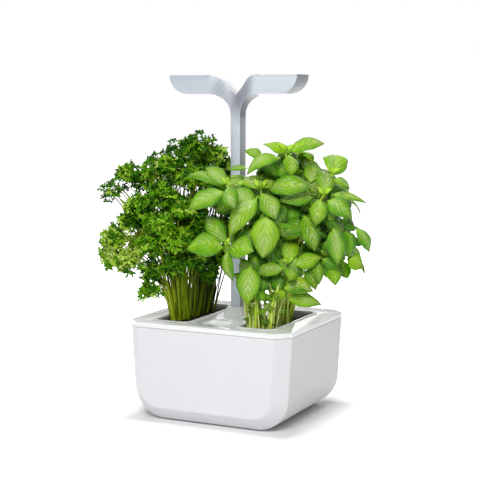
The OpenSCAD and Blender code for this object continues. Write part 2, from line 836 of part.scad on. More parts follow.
// Half of the lamp seen from the front: x outwards, y up
module leaf_side() {
    difference() {
        union() {
            polygon([[0, head_low], [mast_w / 2, head_low], [mast_w / 2, fillet_z],
                [fillet_x, fillet_z], [fillet_x, lamp_under], [tip_x, lamp_under],
                [tip_x, leaf_top], [crown_x, leaf_top], shoulder, [0, notch_z]]);
            intersection() {
                translate([crown_x, leaf_top - crown_r]) circle(crown_r, $fn = 4 * hull_fn);
                translate(shoulder) square([crown_x - shoulder[0], leaf_top - shoulder[1]]);
            }
            intersection() {
                translate([tip_x, tip_z]) circle(tip_r, $fn = 4 * hull_fn);
                translate([tip_x - through, lamp_under])
                    square([tip_r + 2 * through, leaf_t]);
            }
        }
        translate([fillet_x, fillet_z]) circle(fillet_r, $fn = 4 * hull_fn);
    }
}

// Half of the lamp seen from above: narrow at the mast, widening along an S-curve
function widening(t) = t * t * (3 - 2 * t);

module leaf_plan() {
    near = [for (i = [0:flare_steps]) let (t = i / flare_steps)
        [mast_w / 2 + t * flare_l, -mast_d / 2 - widening(t) * flare_full]];
    far = [for (i = [flare_steps:-1:0]) [near[i][0], -near[i][1]]];
    polygon(concat([[0, -mast_d / 2]], near,
        [[leaf_tip + through, -leaf_d / 2], [leaf_tip + through, leaf_d / 2]],
        far, [[0, mast_d / 2]]));
}

// Turns a front outline into a solid that runs from front to back
module front_to_back(depth) {
    translate([0, depth / 2, 0]) rotate([90, 0, 0]) linear_extrude(depth) children();
}

module leaf_solid() {
    intersection() {
        front_to_back(2 * leaf_d) leaf_side();
        linear_extrude(leaf_top + through) leaf_plan();
    }
}

module lid_zone() {
    translate([lid_x, -leaf_d, lid_z]) cube([leaf_tip, 2 * leaf_d, 2 * lid_t]);
}

// Room inside a leaf: lower part over the whole length, upper part under the lid
module leaf_room() {
    front_to_back(cavity_w) {
        intersection() {
            translate([cavity_in, floor_z]) square([leaf_tip, lid_z - floor_z + through]);
            union() {
                translate([tip_x, tip_z]) circle(tip_r - lamp_wall, $fn = 4 * hull_fn);
                translate([lid_x, floor_z]) square([tip_x - lid_x, leaf_t]);
                translate([cavity_in, floor_z])
                    square([lid_x - cavity_in, cavity_low_top - floor_z]);
            }
        }
    }
    // Channel for the leads, from the head of the coupler up to the room
    inner = cavity_in + channel_lap;
    front_to_back(duct_w) polygon([[-channel_lap, coupler_high - channel_h / 2],
        [channel_lap, coupler_high - channel_h / 2], [inner, floor_z + channel_h / 2],
        [inner, floor_z + 1.25 * channel_h], [-channel_lap, coupler_high + channel_h / 2]]);
}

module at_panel(side) {
    translate([side * panel_x, 0, 0]) children();
}

module at_bosses() {
    for (sx = [-1, 1], sy = [-1, 1]) translate([sx * boss_x, sy * boss_y, 0]) children();
}

module lamp_housing() {
    color("silver") above_deck() difference() {
        union() {
            for (side = [0, 1]) mirror([side, 0, 0]) difference() {
                leaf_solid();
                lid_zone();
                leaf_room();
                at_panel(right) translate([-panel_l / 2, -panel_w / 2, lamp_under - through])
                    cube([panel_l, panel_w, 3 * through + lamp_wall]);
            }
            for (side = [left, right]) at_panel(side) at_bosses() translate([0, 0, floor_z - 0.2])
                cylinder(r = boss_r, h = board_z - floor_z + 0.2);
            intersection() {
                translate([button_x, 0, lamp_under])
                    cylinder(r = button_boss_r, h = button_boss_z - lamp_under);
                leaf_solid();
            }
        }
        bar(plug_w, plug_d, head_low - through, coupler_high);
        translate([0, 0, coupler_high - through]) cylinder(r = cable_r + 0.6, h = 5);
        translate([0, mast_d / 2 - mast_wall - through, set_high]) rotate([-90, 0, 0])
            cylinder(r = set_r, h = leaf_d);
        translate([button_x, 0, lamp_under - through])
            cylinder(r = button_r + button_fit, h = leaf_t / 2);
        for (side = [left, right]) at_panel(side) at_bosses()
            translate([0, 0, floor_z + 0.5]) cylinder(r = small_r, h = 4);
    }
}

module lid() {
    color("silver") above_deck() {
        intersection() {
            leaf_solid();
            lid_zone();
        }
        translate([0, 0, lid_z - lid_t / 2]) linear_extrude(lid_t / 2) difference() {
            lid_rib(0);
            lid_rib(1.2);
        }
    }
}

module lid_rib(inset) {
    low = lid_x + case_clear + inset;
    high = tip_x + tip_r - lamp_wall - 3 - inset;
    half = cavity_w / 2 - case_clear - inset;
    polygon([[low, -half], [high, -half], [high, half], [low, half]]);
}

module right_lid() lid();
module left_lid() mirror([1, 0, 0]) lid();

module diffuser(side) {
    color("lavender") above_deck() at_panel(side) {
        bar(panel_l - 0.2, panel_w - 0.2, lamp_under - panel_drop, floor_z + panel_flange / 2);
        bar(panel_l + 2 * panel_flange, panel_w + 2 * panel_flange, floor_z,
            floor_z + panel_flange);
    }
}

module led_board(side) {
    color("white") above_deck() at_panel(side) difference() {
        bar(board_l, board_w, board_z, board_z + board_t);
        at_bosses() translate([0, 0, board_z - through])
            cylinder(r = small_r + 0.1, h = board_t + 2 * through);
    }
}

module leds(side) {
    color("violet") above_deck() at_panel(side) for (ix = [-1.5:1:1.5], iy = [-1:1])
        translate([ix * led_pitch[0], iy * led_pitch[1], board_z - led_size[2] / 2])
            cube(led_size, center = true);
}

module heat_sink(side) {
    color("silver") above_deck() at_panel(side) {
        bar(sink_l, sink_w, sink_z, sink_z + sink_base);
        for (i = [0:fins - 1]) translate([0, (i / (fins - 1) - 0.5) * (sink_w - fin_t), 0])
            bar(sink_l, fin_t, sink_z, sink_z + sink_h);
    }
}

module board_screws() {
    color("silver") above_deck() for (side = [left, right]) at_panel(side) at_bosses()
        translate([0, 0, sink_z + small_head_t]) mirror([0, 0, 1])
            screw(small_r - 0.05, small_head_r, small_head_t, board_t + 1.8);
}

module left_diffuser() diffuser(left);
module right_diffuser() diffuser(right);
module left_led_board() led_board(left);
module right_led_board() led_board(right);
module left_leds() leds(left);
module right_leds() leds(right);
module left_heat_sink() heat_sink(left);
module right_heat_sink() heat_sink(right);

module driver_board() {
    color("seagreen") above_deck() translate([-panel_x, 0, 0]) {
        bar(driver_l, pcb_w, pcb_z, pcb_z + board_t);
        translate([transformer_x, 0, 0])
            bar(transformer[0], transformer[1], pcb_z + board_t, pcb_z + board_t + transformer[2]);
        translate([capacitor_at[0], capacitor_at[1], pcb_z + board_t])
            cylinder(r = capacitor_r, h = capacitor_h);
    }
}

module control_board() {
    low = panel_x - pcb_in;
    high = button_x + switch_size[0];
    color("seagreen") above_deck() translate([(low + high) / 2, 0, 0]) {
        bar(high - low, pcb_w, pcb_z, pcb_z + board_t);
        translate([chip_x, 0, 0])
            bar(chip[0], chip[1], pcb_z + board_t, pcb_z + board_t + chip[2]);
    }
}

module button_switch() {
    rest = button_boss_z + button_flange_t + button_travel + switch_gap;
    color("dimgray") above_deck() translate([button_x, 0, 0]) {
        bar(switch_size[0], switch_size[1], rest + plunger_h, pcb_z);
        translate([0, 0, rest]) cylinder(r = plunger_r, h = plunger_h);
    }
}

// Pressed upwards from under the right leaf
module power_button() {
    color("dimgray") above_deck() translate([button_x, 0, 0]) {
        translate([0, 0, button_low]) cylinder(r = button_r, h = button_boss_z - button_low);
        translate([0, 0, button_boss_z]) cylinder(r = button_flange_r, h = button_flange_t);
    }
}

// Two thin leads from the top of the mast cable to the boards
module lamp_leads() {
    start = [0, coupler_high + 1.5];
    end = [panel_x - pcb_in - 0.8, pcb_z + 0.4];
    run = norm(end - start);
    color("black") above_deck() for (side = [0, 1]) mirror([side, 0, 0])
        translate([start[0], 0, start[1]])
            rotate([0, atan2(end[0] - start[0], end[1] - start[1]), 0])
                translate([0, 0, 1.4]) cylinder(r = 0.8, h = run - 1.4);
}

outer_casing();
water_tank();
rubber_feet();
top_cover();
left_well();
right_well();
mast_collar();
mast_socket();
collar_screws();
friction_pad();
dc_inlet();
inlet_pin();
inlet_lead();
coiled_lead();
float_guide();
flap_pin();
fill_flap();
level_float();
left_tray();
left_soil();
left_wick();
parsley_stems();
parsley_leaves();
right_tray();
right_soil();
right_wick();
basil_stems();
basil_leaves();
mast_tube();
mast_foot();
mast_coupler();
set_screws();
lamp_housing();
left_lid();
right_lid();
left_diffuser();
right_diffuser();
left_led_board();
right_led_board();
left_leds();
right_leds();
left_heat_sink();
right_heat_sink();
board_screws();
driver_board();
control_board();
button_switch();
mast_cable();
lamp_leads();
power_button();
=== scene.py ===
# %% [markdown]
# # A countertop herb garden
# The real object is a white water tank with a deck, two herbs in slots and a lamp on a
# mast. Its exact solids come in as a fixed frame. This lesson dresses them: surfaces are
# worked out with numpy on grids, and finishes are made from shader nodes.

# %% Load the frame
import json
import math

import bmesh
import bpy
import numpy as np
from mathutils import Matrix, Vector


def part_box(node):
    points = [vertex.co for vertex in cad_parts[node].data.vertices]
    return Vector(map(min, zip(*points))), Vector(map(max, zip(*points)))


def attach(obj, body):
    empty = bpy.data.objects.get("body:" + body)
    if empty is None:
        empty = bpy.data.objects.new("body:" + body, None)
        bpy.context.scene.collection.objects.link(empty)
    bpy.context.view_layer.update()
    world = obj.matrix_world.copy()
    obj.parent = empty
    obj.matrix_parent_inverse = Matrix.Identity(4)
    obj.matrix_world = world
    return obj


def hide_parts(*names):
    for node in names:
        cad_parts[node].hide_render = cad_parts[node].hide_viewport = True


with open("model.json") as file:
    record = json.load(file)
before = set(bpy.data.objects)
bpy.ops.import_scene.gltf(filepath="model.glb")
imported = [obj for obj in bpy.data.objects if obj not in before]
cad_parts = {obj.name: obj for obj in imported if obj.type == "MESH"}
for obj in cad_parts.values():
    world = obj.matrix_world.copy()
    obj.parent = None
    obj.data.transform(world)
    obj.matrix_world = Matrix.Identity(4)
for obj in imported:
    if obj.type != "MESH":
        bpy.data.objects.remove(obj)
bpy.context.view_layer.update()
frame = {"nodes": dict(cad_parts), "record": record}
NODES = frame["nodes"]
MM = 0.001
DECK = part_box("top_cover")[1].z / MM
print("nodes:", len(NODES), "deck top at", round(DECK, 2), "mm")

# %% [markdown]
# ## The camera
# A long lens a good metre away keeps the tank's edges nearly parallel, as in a catalogue
# picture. A camera can be aimed by constraint, but two angles and a distance are plain
# numbers that a reader can change.

# %% Camera
AZIMUTH, ELEVATION, DISTANCE = math.radians(26.06), math.radians(6.575), 1428.1
AIM = np.array([2.27, 0.0, DECK + 88.03])
FOCAL_LENGTH, SENSOR_WIDTH = 93.2, 36.0    # mm


def direction(azimuth, elevation):
    """Unit vector from the object towards a place at two angles, in radians:
    (sin a cos e, -cos a cos e, sin e). Azimuth 0 is the front."""
    level = math.cos(elevation)
    return np.array([math.sin(azimuth) * level, -math.cos(azimuth) * level, math.sin(elevation)])


back = direction(AZIMUTH, ELEVATION)
optics = bpy.data.cameras.new("camera")
optics.lens, optics.sensor_width = FOCAL_LENGTH, SENSOR_WIDTH
camera = bpy.data.objects.new("camera", optics)
camera.location = (AIM + back * DISTANCE) * MM
camera.rotation_euler = (math.pi / 2 - ELEVATION, 0, AZIMUTH)
bpy.context.scene.collection.objects.link(camera)
bpy.context.scene.camera = camera
print("camera at", [round(v, 3) for v in camera.location])

# %% [markdown]
# ## Turning arrays into meshes
# Blender can build shapes point by point, but whole arrays are quicker and easier to read.
# The first helper takes points and faces with the same number of corners, the second
# lays out the faces of many grids at once, and the third scales vectors to length 1.

# %% Mesh helpers
def as_mesh(name, points, faces, uv=None, tone=None, smooth=True):
    """Mesh object from points in mm and faces with the same number of corners each."""
    mesh = bpy.data.meshes.new(name)
    faces = np.asarray(faces, np.int32)
    mesh.vertices.add(len(points))
    mesh.vertices.foreach_set("co", (np.asarray(points) * MM).astype(np.float32).ravel())
    mesh.loops.add(faces.size)
    mesh.loops.foreach_set("vertex_index", faces.ravel())
    mesh.polygons.add(len(faces))
    mesh.polygons.foreach_set("loop_start", np.arange(0, faces.size, faces.shape[1], dtype=np.int32))
    mesh.update(calc_edges=True)
    if uv is not None:
        layer = mesh.uv_layers.new(name="surface")
        layer.data.foreach_set("uv", np.asarray(uv, np.float32)[faces.ravel()].ravel())
    if tone is not None:
        values = mesh.attributes.new("tone", "FLOAT", "POINT").data
        values.foreach_set("value", np.asarray(tone, np.float32))
    mesh.polygons.foreach_set("use_smooth", np.full(len(faces), smooth))
    mesh.validate()
    piece = bpy.data.objects.new(name, mesh)
    bpy.context.scene.collection.objects.link(piece)
    return piece


def grid_faces(count, rows, columns):
    """Quads of count grids that follow each other, each with rows times columns points."""
    first = (np.arange(rows - 1)[:, None] * columns + np.arange(columns - 1)).ravel()
    quad = np.stack([first, first + columns, first + columns + 1, first + 1], -1)
    return (quad[None] + (np.arange(count) * rows * columns)[:, None, None]).reshape(-1, 4)


def unit(v):
    """Vectors divided by their own length, along the last axis."""
    return v / np.maximum(np.linalg.norm(v, axis=-1, keepdims=True), 1e-9)


print("faces of a grid of 3 x 4 points:", len(grid_faces(1, 3, 4)))

# %% [markdown]
# ## The tank casing
# The moulded casing is a U in front view, and its front and back faces are framed by a
# broad chamfer. A boolean could cut it, but one grid does all: the U is the profile, and
# a second parameter carries it from front to back while it shrinks at both ends.

# %% Casing profile
# In mm: half the casing's width and depth, the radius of its lower corners, how far its
# walls lean in, its chamfer, and its height above the worktop
HALF_W, HALF_D, CORNER, DRAFT, CHAMFER, FOOT = 100.0, 87.5, 38.0, 4.0, 15.0, 1.5
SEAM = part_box("outer_casing")[1].z / MM - 0.6    # height of the casing's upper rim
ARC_X, ARC_Z = HALF_W - DRAFT - CORNER, FOOT + CORNER


def u_profile(inset):
    """U seen from the front, moved in by inset: a line from the rim that just touches a
    circle, the circle down to its lowest point, the flat underside, and the mirror image."""
    r = CORNER - inset
    top = np.array([HALF_W - inset, SEAM])
    away = top - [ARC_X, ARC_Z]
    touch = math.atan2(away[1], away[0]) - math.acos(r / np.linalg.norm(away))
    angle = np.linspace(touch, -math.pi / 2, 17)
    arc = np.stack([ARC_X + r * np.cos(angle), ARC_Z + r * np.sin(angle)], -1)
    wall = top + (arc[0] - top) * np.array([0, 0.01, 0.5, 0.98])[:, None]
    half = np.concatenate([wall, arc])
    floor_x = np.linspace(0.8, -0.8, 5)[:, None] * ARC_X
    floor = np.concatenate([floor_x, np.full((5, 1), ARC_Z - r)], -1)
    return np.concatenate([half, floor, half[::-1] * [-1, 1]])


def end_path(rounding=2.4):
    """Front half of the way from face to side, as depth and inset: a flat face, a 45 degree
    chamfer, and a small arc that rounds each of its two edges."""
    bend = math.pi / 8
    reach = rounding * math.tan(bend)
    t = np.linspace(0, 2 * bend, 5)
    face = np.stack([rounding * (1 - np.cos(t)), CHAMFER + reach - rounding * np.sin(t)], -1)
    side = np.stack([CHAMFER + reach - rounding * np.sin(t), rounding * (1 - np.cos(t))], -1)[::-1]
    first = np.array([[0, CHAMFER + 5], [0, CHAMFER + reach + 0.4]])
    last = np.array([[CHAMFER + reach + 0.4, 0], [HALF_D * 0.6, 0]])
    path = np.concatenate([first, face, side, last])
    return np.stack([path[:, 0] - HALF_D, path[:, 1]], -1)


path = end_path()
path = np.concatenate([path, path[::-1] * [-1, 1]])
profile = np.stack([u_profile(inset) for inset in path[:, 1]])
depth = np.broadcast_to(path[:, :1, None], profile.shape[:2] + (1,))
skin = np.concatenate([profile[..., :1], depth, profile[..., 1:]], -1)
rows, columns = skin.shape[:2]
print("casing grid", rows, "x", columns)

# %% [markdown]
# ## The casing as a shell
# The real casing is moulded with a wall of even thickness. A second, inner skin could be
# worked out too, but a modifier grows the same wall inwards from the outer one, and
# another rounds the sharp lips that are left.

# %% Casing mesh
WALL, LIP = 1.2, 0.35    # thickness of the wall and rounding of its lips, in mm
quads = grid_faces(1, rows, columns).tolist()
front = list(range(columns))
rear = [(rows - 1) * columns + i for i in range(columns)]
casing_mesh = bpy.data.meshes.new("casing")
casing_mesh.from_pydata((skin.reshape(-1, 3) * MM).tolist(), [], quads + [front, rear[::-1]])
casing = bpy.data.objects.new("casing", casing_mesh)
bpy.context.scene.collection.objects.link(casing)


def outwards(piece):
    """Turns the faces of a piece to point away from its inside."""
    work = bmesh.new()
    work.from_mesh(piece.data)
    bmesh.ops.recalc_face_normals(work, faces=work.faces)
    work.to_mesh(piece.data)
    work.free()


outwards(casing)
casing.data.shade_smooth()
wall = casing.modifiers.new("wall", "SOLIDIFY")
wall.thickness, wall.offset = WALL * MM, -1
lip = casing.modifiers.new("lip", "BEVEL")
lip.width, lip.segments = LIP * MM, 2
lip.limit_method, lip.angle_limit = "ANGLE", math.radians(60)
print("casing faces", len(casing.data.polygons))

# %% [markdown]
# ## Edges that catch the light
# Moulded and machined parts never have a perfectly sharp edge. Each CAD shape that is
# already right is copied, its doubled points are merged, and a bevel rounds its edges.
# The frame's own mesh stays as it is, and the copy is shown in its place.

# %% Rounded copies
DOUBLED, NEARLY_FLAT = 2e-6, 0.6    # points closer than this many m, bends below these degrees


def dress(piece, body, slot, node=None):
    """Ties a piece to the body that it moves with and to its finish. With a node, the piece
    is shown in that node's place."""
    if node:
        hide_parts(node)
    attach(piece, body)
    piece["made_slot"] = slot
    return piece


def rounded_copy(node, width, body, slot, segments=3, angle=30):
    """Copy of a CAD node whose edges sharper than an angle are rounded by a width in mm."""
    piece = bpy.data.objects.new(node + "_skin", NODES[node].data.copy())
    bpy.context.scene.collection.objects.link(piece)
    work = bmesh.new()
    work.from_mesh(piece.data)
    bmesh.ops.remove_doubles(work, verts=work.verts, dist=DOUBLED)
    bmesh.ops.dissolve_limit(work, angle_limit=math.radians(NEARLY_FLAT), verts=work.verts,
                             edges=work.edges)
    work.to_mesh(piece.data)
    work.free()
    piece.data.shade_smooth()
    edge = piece.modifiers.new("edge", "BEVEL")
    edge.width, edge.segments = width * MM, segments
    edge.limit_method, edge.angle_limit = "ANGLE", math.radians(angle)
    edge.use_clamp_overlap, edge.harden_normals = True, True
    return dress(piece, body, slot, node)


rounded_copy("top_cover", 0.9, "deck", "white_deck")
for side_name in ("left", "right"):
    rounded_copy(side_name + "_well", 0.35, "deck", "white_deck", 2)["made_slot"] = "well_plastic"
    rounded_copy(side_name + "_tray", 0.3, side_name + "_cartridge", "grey_plastic", 2)
    rounded_copy(side_name + "_lid", 0.9, "lamp", "lamp_metal")
    rounded_copy(side_name + "_diffuser", 0.8, "lamp", "light_panel")
rounded_copy("mast_collar", 0.9, "deck", "white_deck")
rounded_copy("mast_tube", 0.8, "lamp", "mast_metal")
rounded_copy("lamp_housing", 1.2, "lamp", "lamp_metal")
rounded_copy("fill_flap", 0.3, "flap", "white_deck", 2)
dress(casing, "tank", "white_casing", "outer_casing")

# %% [markdown]
# ## Light panels
# Each panel bulges a little below the head. A sphere could be squashed for it, but a grid
# of two parameters gives a rim that follows the rounded rectangle of the window. The same
# slab serves for the growing medium further on.

# %% Slabs and lenses
BULGE = 1.7    # how far a lens hangs down in its middle, in mm


def slab(name, a, b, half, radius, middle, top, under):
    """Closed slab: a square grid of a and b from -1 to 1 is pulled into a rounded rectangle,
    by moving points beyond a corner's radius back onto it. top and under give its two
    faces' heights, and walls join their rims."""
    flat = np.stack([a * half[0], b * half[1]], -1)
    over = np.maximum(np.abs(flat) - (half - radius), 0)
    far = np.linalg.norm(over, axis=-1, keepdims=True)
    pull = np.where(far > radius, radius / np.maximum(far, 1e-6), 1)
    flat = np.sign(flat) * (np.minimum(np.abs(flat), half - radius) + over * pull)
    upper, lower = (np.concatenate([flat + middle, level[..., None]], -1)
                    for level in (top(flat), under(flat)))
    n, m = a.shape
    faces = grid_faces(1, n, m)
    index = np.arange(n * m).reshape(n, m)
    ring = np.concatenate([index[0], index[1:, -1], index[-1, -2::-1], index[-2:0:-1, 0]])
    after = np.roll(ring, -1)
    walls = np.stack([ring, after, after + n * m, ring + n * m], -1)
    faces = np.concatenate([faces, faces[:, ::-1] + n * m, walls])
    piece = as_mesh(name, np.concatenate([upper.reshape(-1, 3), lower.reshape(-1, 3)]), faces)
    outwards(piece)
    return piece


for side_name in ("left", "right"):
    lo, hi = (np.array(corner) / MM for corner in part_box(side_name + "_diffuser"))
    a, b = np.meshgrid(np.linspace(-1, 1, 25), np.linspace(-1, 1, 17), indexing="ij")
    half = (hi - lo)[:2] / 2 - 1.8
    lens = slab(side_name + "_lens", a, b, half, 4.0, (lo + hi)[:2] / 2,
                lambda p: np.full(p.shape[:-1], lo[2] + 0.3),
                lambda p: lo[2] - 0.1 - BULGE * np.prod(1 - (p / half) ** 2, axis=-1))
    dress(lens, "lamp", "light_panel")
    print(side_name, "lens:", len(lens.data.polygons), "faces")

# %% [markdown]
# ## The growing medium
# Loose, crumbly fibre fills each cartridge. Sculpting would do, but a grid whose height
# is a sum of waves at several scales is quick and stays inside the tray.

# %% Growing medium
def crumble(x, y, seed, amount):
    """Uneven height: a sum of sine waves, each twice as fine and about half as high."""
    rng = np.random.default_rng(seed)
    height = np.zeros_like(x)
    for octave in range(6):
        turn = rng.uniform(0, 2 * np.pi, 4)
        wave = 0.12 * 1.9 ** octave
        height += (np.sin(x * wave + turn[0] + 1.7 * np.sin(y * wave * 0.8 + turn[1]))
                   * np.cos(y * wave * 1.1 + turn[2])) * 0.62 ** octave
    return height * amount


def medium_bed(side_name, seed, heaped):
    """Closed bed in the tray: its top is a low mound, heaped by some mm, plus the crumble,
    which dies out at the rim. Its underside is flat."""
    lo, hi = (np.array(corner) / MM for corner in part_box(side_name + "_soil"))
    a, b = np.meshgrid(np.linspace(-1, 1, 48), np.linspace(-1, 1, 130), indexing="ij")
    rim = np.maximum(np.abs(a), np.abs(b))

    def heap(flat):
        rise = crumble(flat[..., 0], flat[..., 1], seed, 0.55) * np.clip((1 - rim) * 6, 0, 1)
        return hi[2] - 0.9 + rise + heaped * (1 - rim ** 14)

    bed = slab(side_name + "_medium", a, b, (hi - lo)[:2] / 2 - 0.15, 4.9, (lo + hi)[:2] / 2, heap,
               lambda flat: np.full(a.shape, lo[2]))
    return dress(bed, side_name + "_cartridge", "growing_medium", side_name + "_soil")


for side_name, seed, heaped in (("left", 3, 8.0), ("right", 8, 5.5)):
    bed = medium_bed(side_name, seed, heaped)
    print(side_name, "medium:", len(bed.data.polygons), "faces")

# %% [markdown]
# ## Stems
# Stems are thin tubes along a curve. Blender's curves could do it, but with hundreds of
# them it is neater to carry one ring of points along all the curves at once.

# %% Tubes along many paths
def tubes(name, paths, radii, tone, sides=7):
    """Closed tubes: a ring of points, turned square to the path, at each point of each path,
    with a middle point at both ends. paths is tubes x points x 3, radii tubes x points."""
    count, points = paths.shape[:2]
    along = unit(np.gradient(paths, axis=1))
    # Any direction that no stem runs along can serve to turn the rings square to the path
    across = unit(np.cross(along, np.array([0.31, 0.95, 0.05])))
    third = np.cross(along, across)
    turn = np.linspace(0, 2 * np.pi, sides, endpoint=False)
    ring = across[:, :, None] * np.cos(turn)[:, None] + third[:, :, None] * np.sin(turn)[:, None]
    rings = paths[:, :, None] + ring * radii[..., None, None]
    block = np.concatenate([rings.reshape(count, -1, 3), paths[:, [0, -1]]], 1)
    size = block.shape[1]
    i, j = np.meshgrid(np.arange(points - 1), np.arange(sides), indexing="ij")
    a, b = i * sides + j, i * sides + (j + 1) % sides
    low = np.stack([a, b, b + sides], -1).reshape(-1, 3)
    high = np.stack([a, b + sides, a + sides], -1).reshape(-1, 3)
    k = np.arange(sides)
    foot = np.stack([np.full(sides, size - 2), (k + 1) % sides, k], -1)
    last = (points - 1) * sides
    head = np.stack([np.full(sides, size - 1), last + k, last + (k + 1) % sides], -1)
    faces = np.concatenate([low, high, foot, head])
    faces = (faces[None] + (np.arange(count) * size)[:, None, None]).reshape(-1, 3)
    v = np.concatenate([np.repeat(np.linspace(0, 1, points), sides), [0, 1]])
    u = np.concatenate([np.tile(k / sides, points), [0, 0]])
    uv = np.tile(np.stack([u, v], -1), (count, 1))
    return as_mesh(name, block.reshape(-1, 3), faces, uv, np.repeat(tone, size))


def bent(start, end, sag, points):
    """Curves from start to end: a straight line plus a sideways bow that is greatest halfway."""
    t = np.linspace(0, 1, points)[None, :, None]
    return start[:, None] + (end - start)[:, None] * t + sag[:, None] * 4 * t * (1 - t)


halfway = bent(np.zeros((1, 3)), np.full((1, 3), 2.0), np.ones((1, 3)), 3)[0, 1]
print("halfway from 0 to 2 with a bow of 1:", halfway.tolist())

# %% [markdown]
# ## Basil leaves
# A basil leaf is a pointed oval that domes up between its side veins and folds along its
# midrib. Cloth or sculpting could shape one, but a formula shapes them all together: along
# the midrib and across it are the two parameters of the grid.

# %% Leaf blades
OVAL_PEAK = 0.2708    # greatest value of s^0.85 (1-s)^1.05
VEIN_SWEEP, VEIN_POWER = 0.60, 1.2    # a side vein climbs by sweep |t|^power, also in its finish
GOLDEN = 0.618    # leaves take steps of this size round a circle, so that no two are alike
THICKNESS = 0.35    # mm


def blades(name, base, tip, width, roll, tone, facing, rows=15, columns=11, arch=0.10, cup=0.24):
    """Leaf grids, with s from 0 to 1 along the midrib and t from -1 to 1 across it. Half
    width: s^0.85 (1-s)^1.05, scaled to the leaf's width. Height above the straight line
    from base to tip is a sum: a crease at the midrib, a dome of cup that falls at the rim,
    a ripple that puffs up between the side veins, a bow of arch along the midrib, a little
    different on each leaf, and a tilt that twists the blade. roll turns each blade about
    its midrib, in degrees."""
    count = len(base)
    s = np.linspace(0, 1, rows)[None, :, None]
    t = np.linspace(-1, 1, columns)[None, None, :]
    axis = unit(tip - base)
    length = np.linalg.norm(tip - base, axis=-1)[:, None, None]
    flat = unit(facing - axis * (facing * axis).sum(-1, keepdims=True))
    over = np.cross(axis, flat)
    angle = np.radians(roll)[:, None]
    flat, over = (flat * np.cos(angle) + over * np.sin(angle),
                  over * np.cos(angle) - flat * np.sin(angle))
    oval = s ** 0.85 * (1 - s) ** 1.05 / OVAL_PEAK
    stalk = np.clip((s - 0.04) / 0.05, 0, 1)
    half = np.maximum(width[:, None, None] / 2 * oval * stalk, 0.45 - 0.2 * s)
    wobble = 1 + 0.035 * np.sin(s * 17 + t * 2 + tone[:, None, None] * 40)
    x = t * half * wobble
    crease = half * (0.15 * np.abs(t) - 0.10 * np.exp(-(t / 0.14) ** 2))
    dome = cup * half * (1 - t ** 2) - 0.10 * half * t ** 4
    veins = np.cos((s - VEIN_SWEEP * np.abs(t) ** VEIN_POWER) * 34.6)
    ripple = 0.038 * half * veins * (1 - t ** 4) * np.minimum(1, np.abs(t) * 4)
    own = np.modf(np.arange(count) * GOLDEN)[0][:, None, None]
    bow = (arch + 0.12 * (own - 0.4)) * length * (4 * s * (1 - s) - 0.25 * s ** 3)
    tilt = half * t * (0.12 * np.sin(s * 5 + own * 30) + 0.9 * (own - 0.5) * (s - 0.3))
    z = crease + dome + ripple + bow + tilt
    points = (base[:, None, None] + axis[:, None, None] * (s * length)[..., None]
              + over[:, None, None] * x[..., None] + flat[:, None, None] * z[..., None])
    uv = np.stack(np.broadcast_arrays(s, t * 0.5 + 0.5), -1)
    uv = np.broadcast_to(uv, (count, rows, columns, 2))
    piece = as_mesh(name, points.reshape(-1, 3), grid_faces(count, rows, columns),
                    uv.reshape(-1, 2), np.repeat(tone, rows * columns))
    skin = piece.modifiers.new("thickness", "SOLIDIFY")
    skin.thickness, skin.offset = THICKNESS * MM, 0
    return piece


grid = np.linspace(0, 1, 10001)
print("the oval's peak:", round(float((grid ** 0.85 * (1 - grid) ** 1.05).max()), 4))
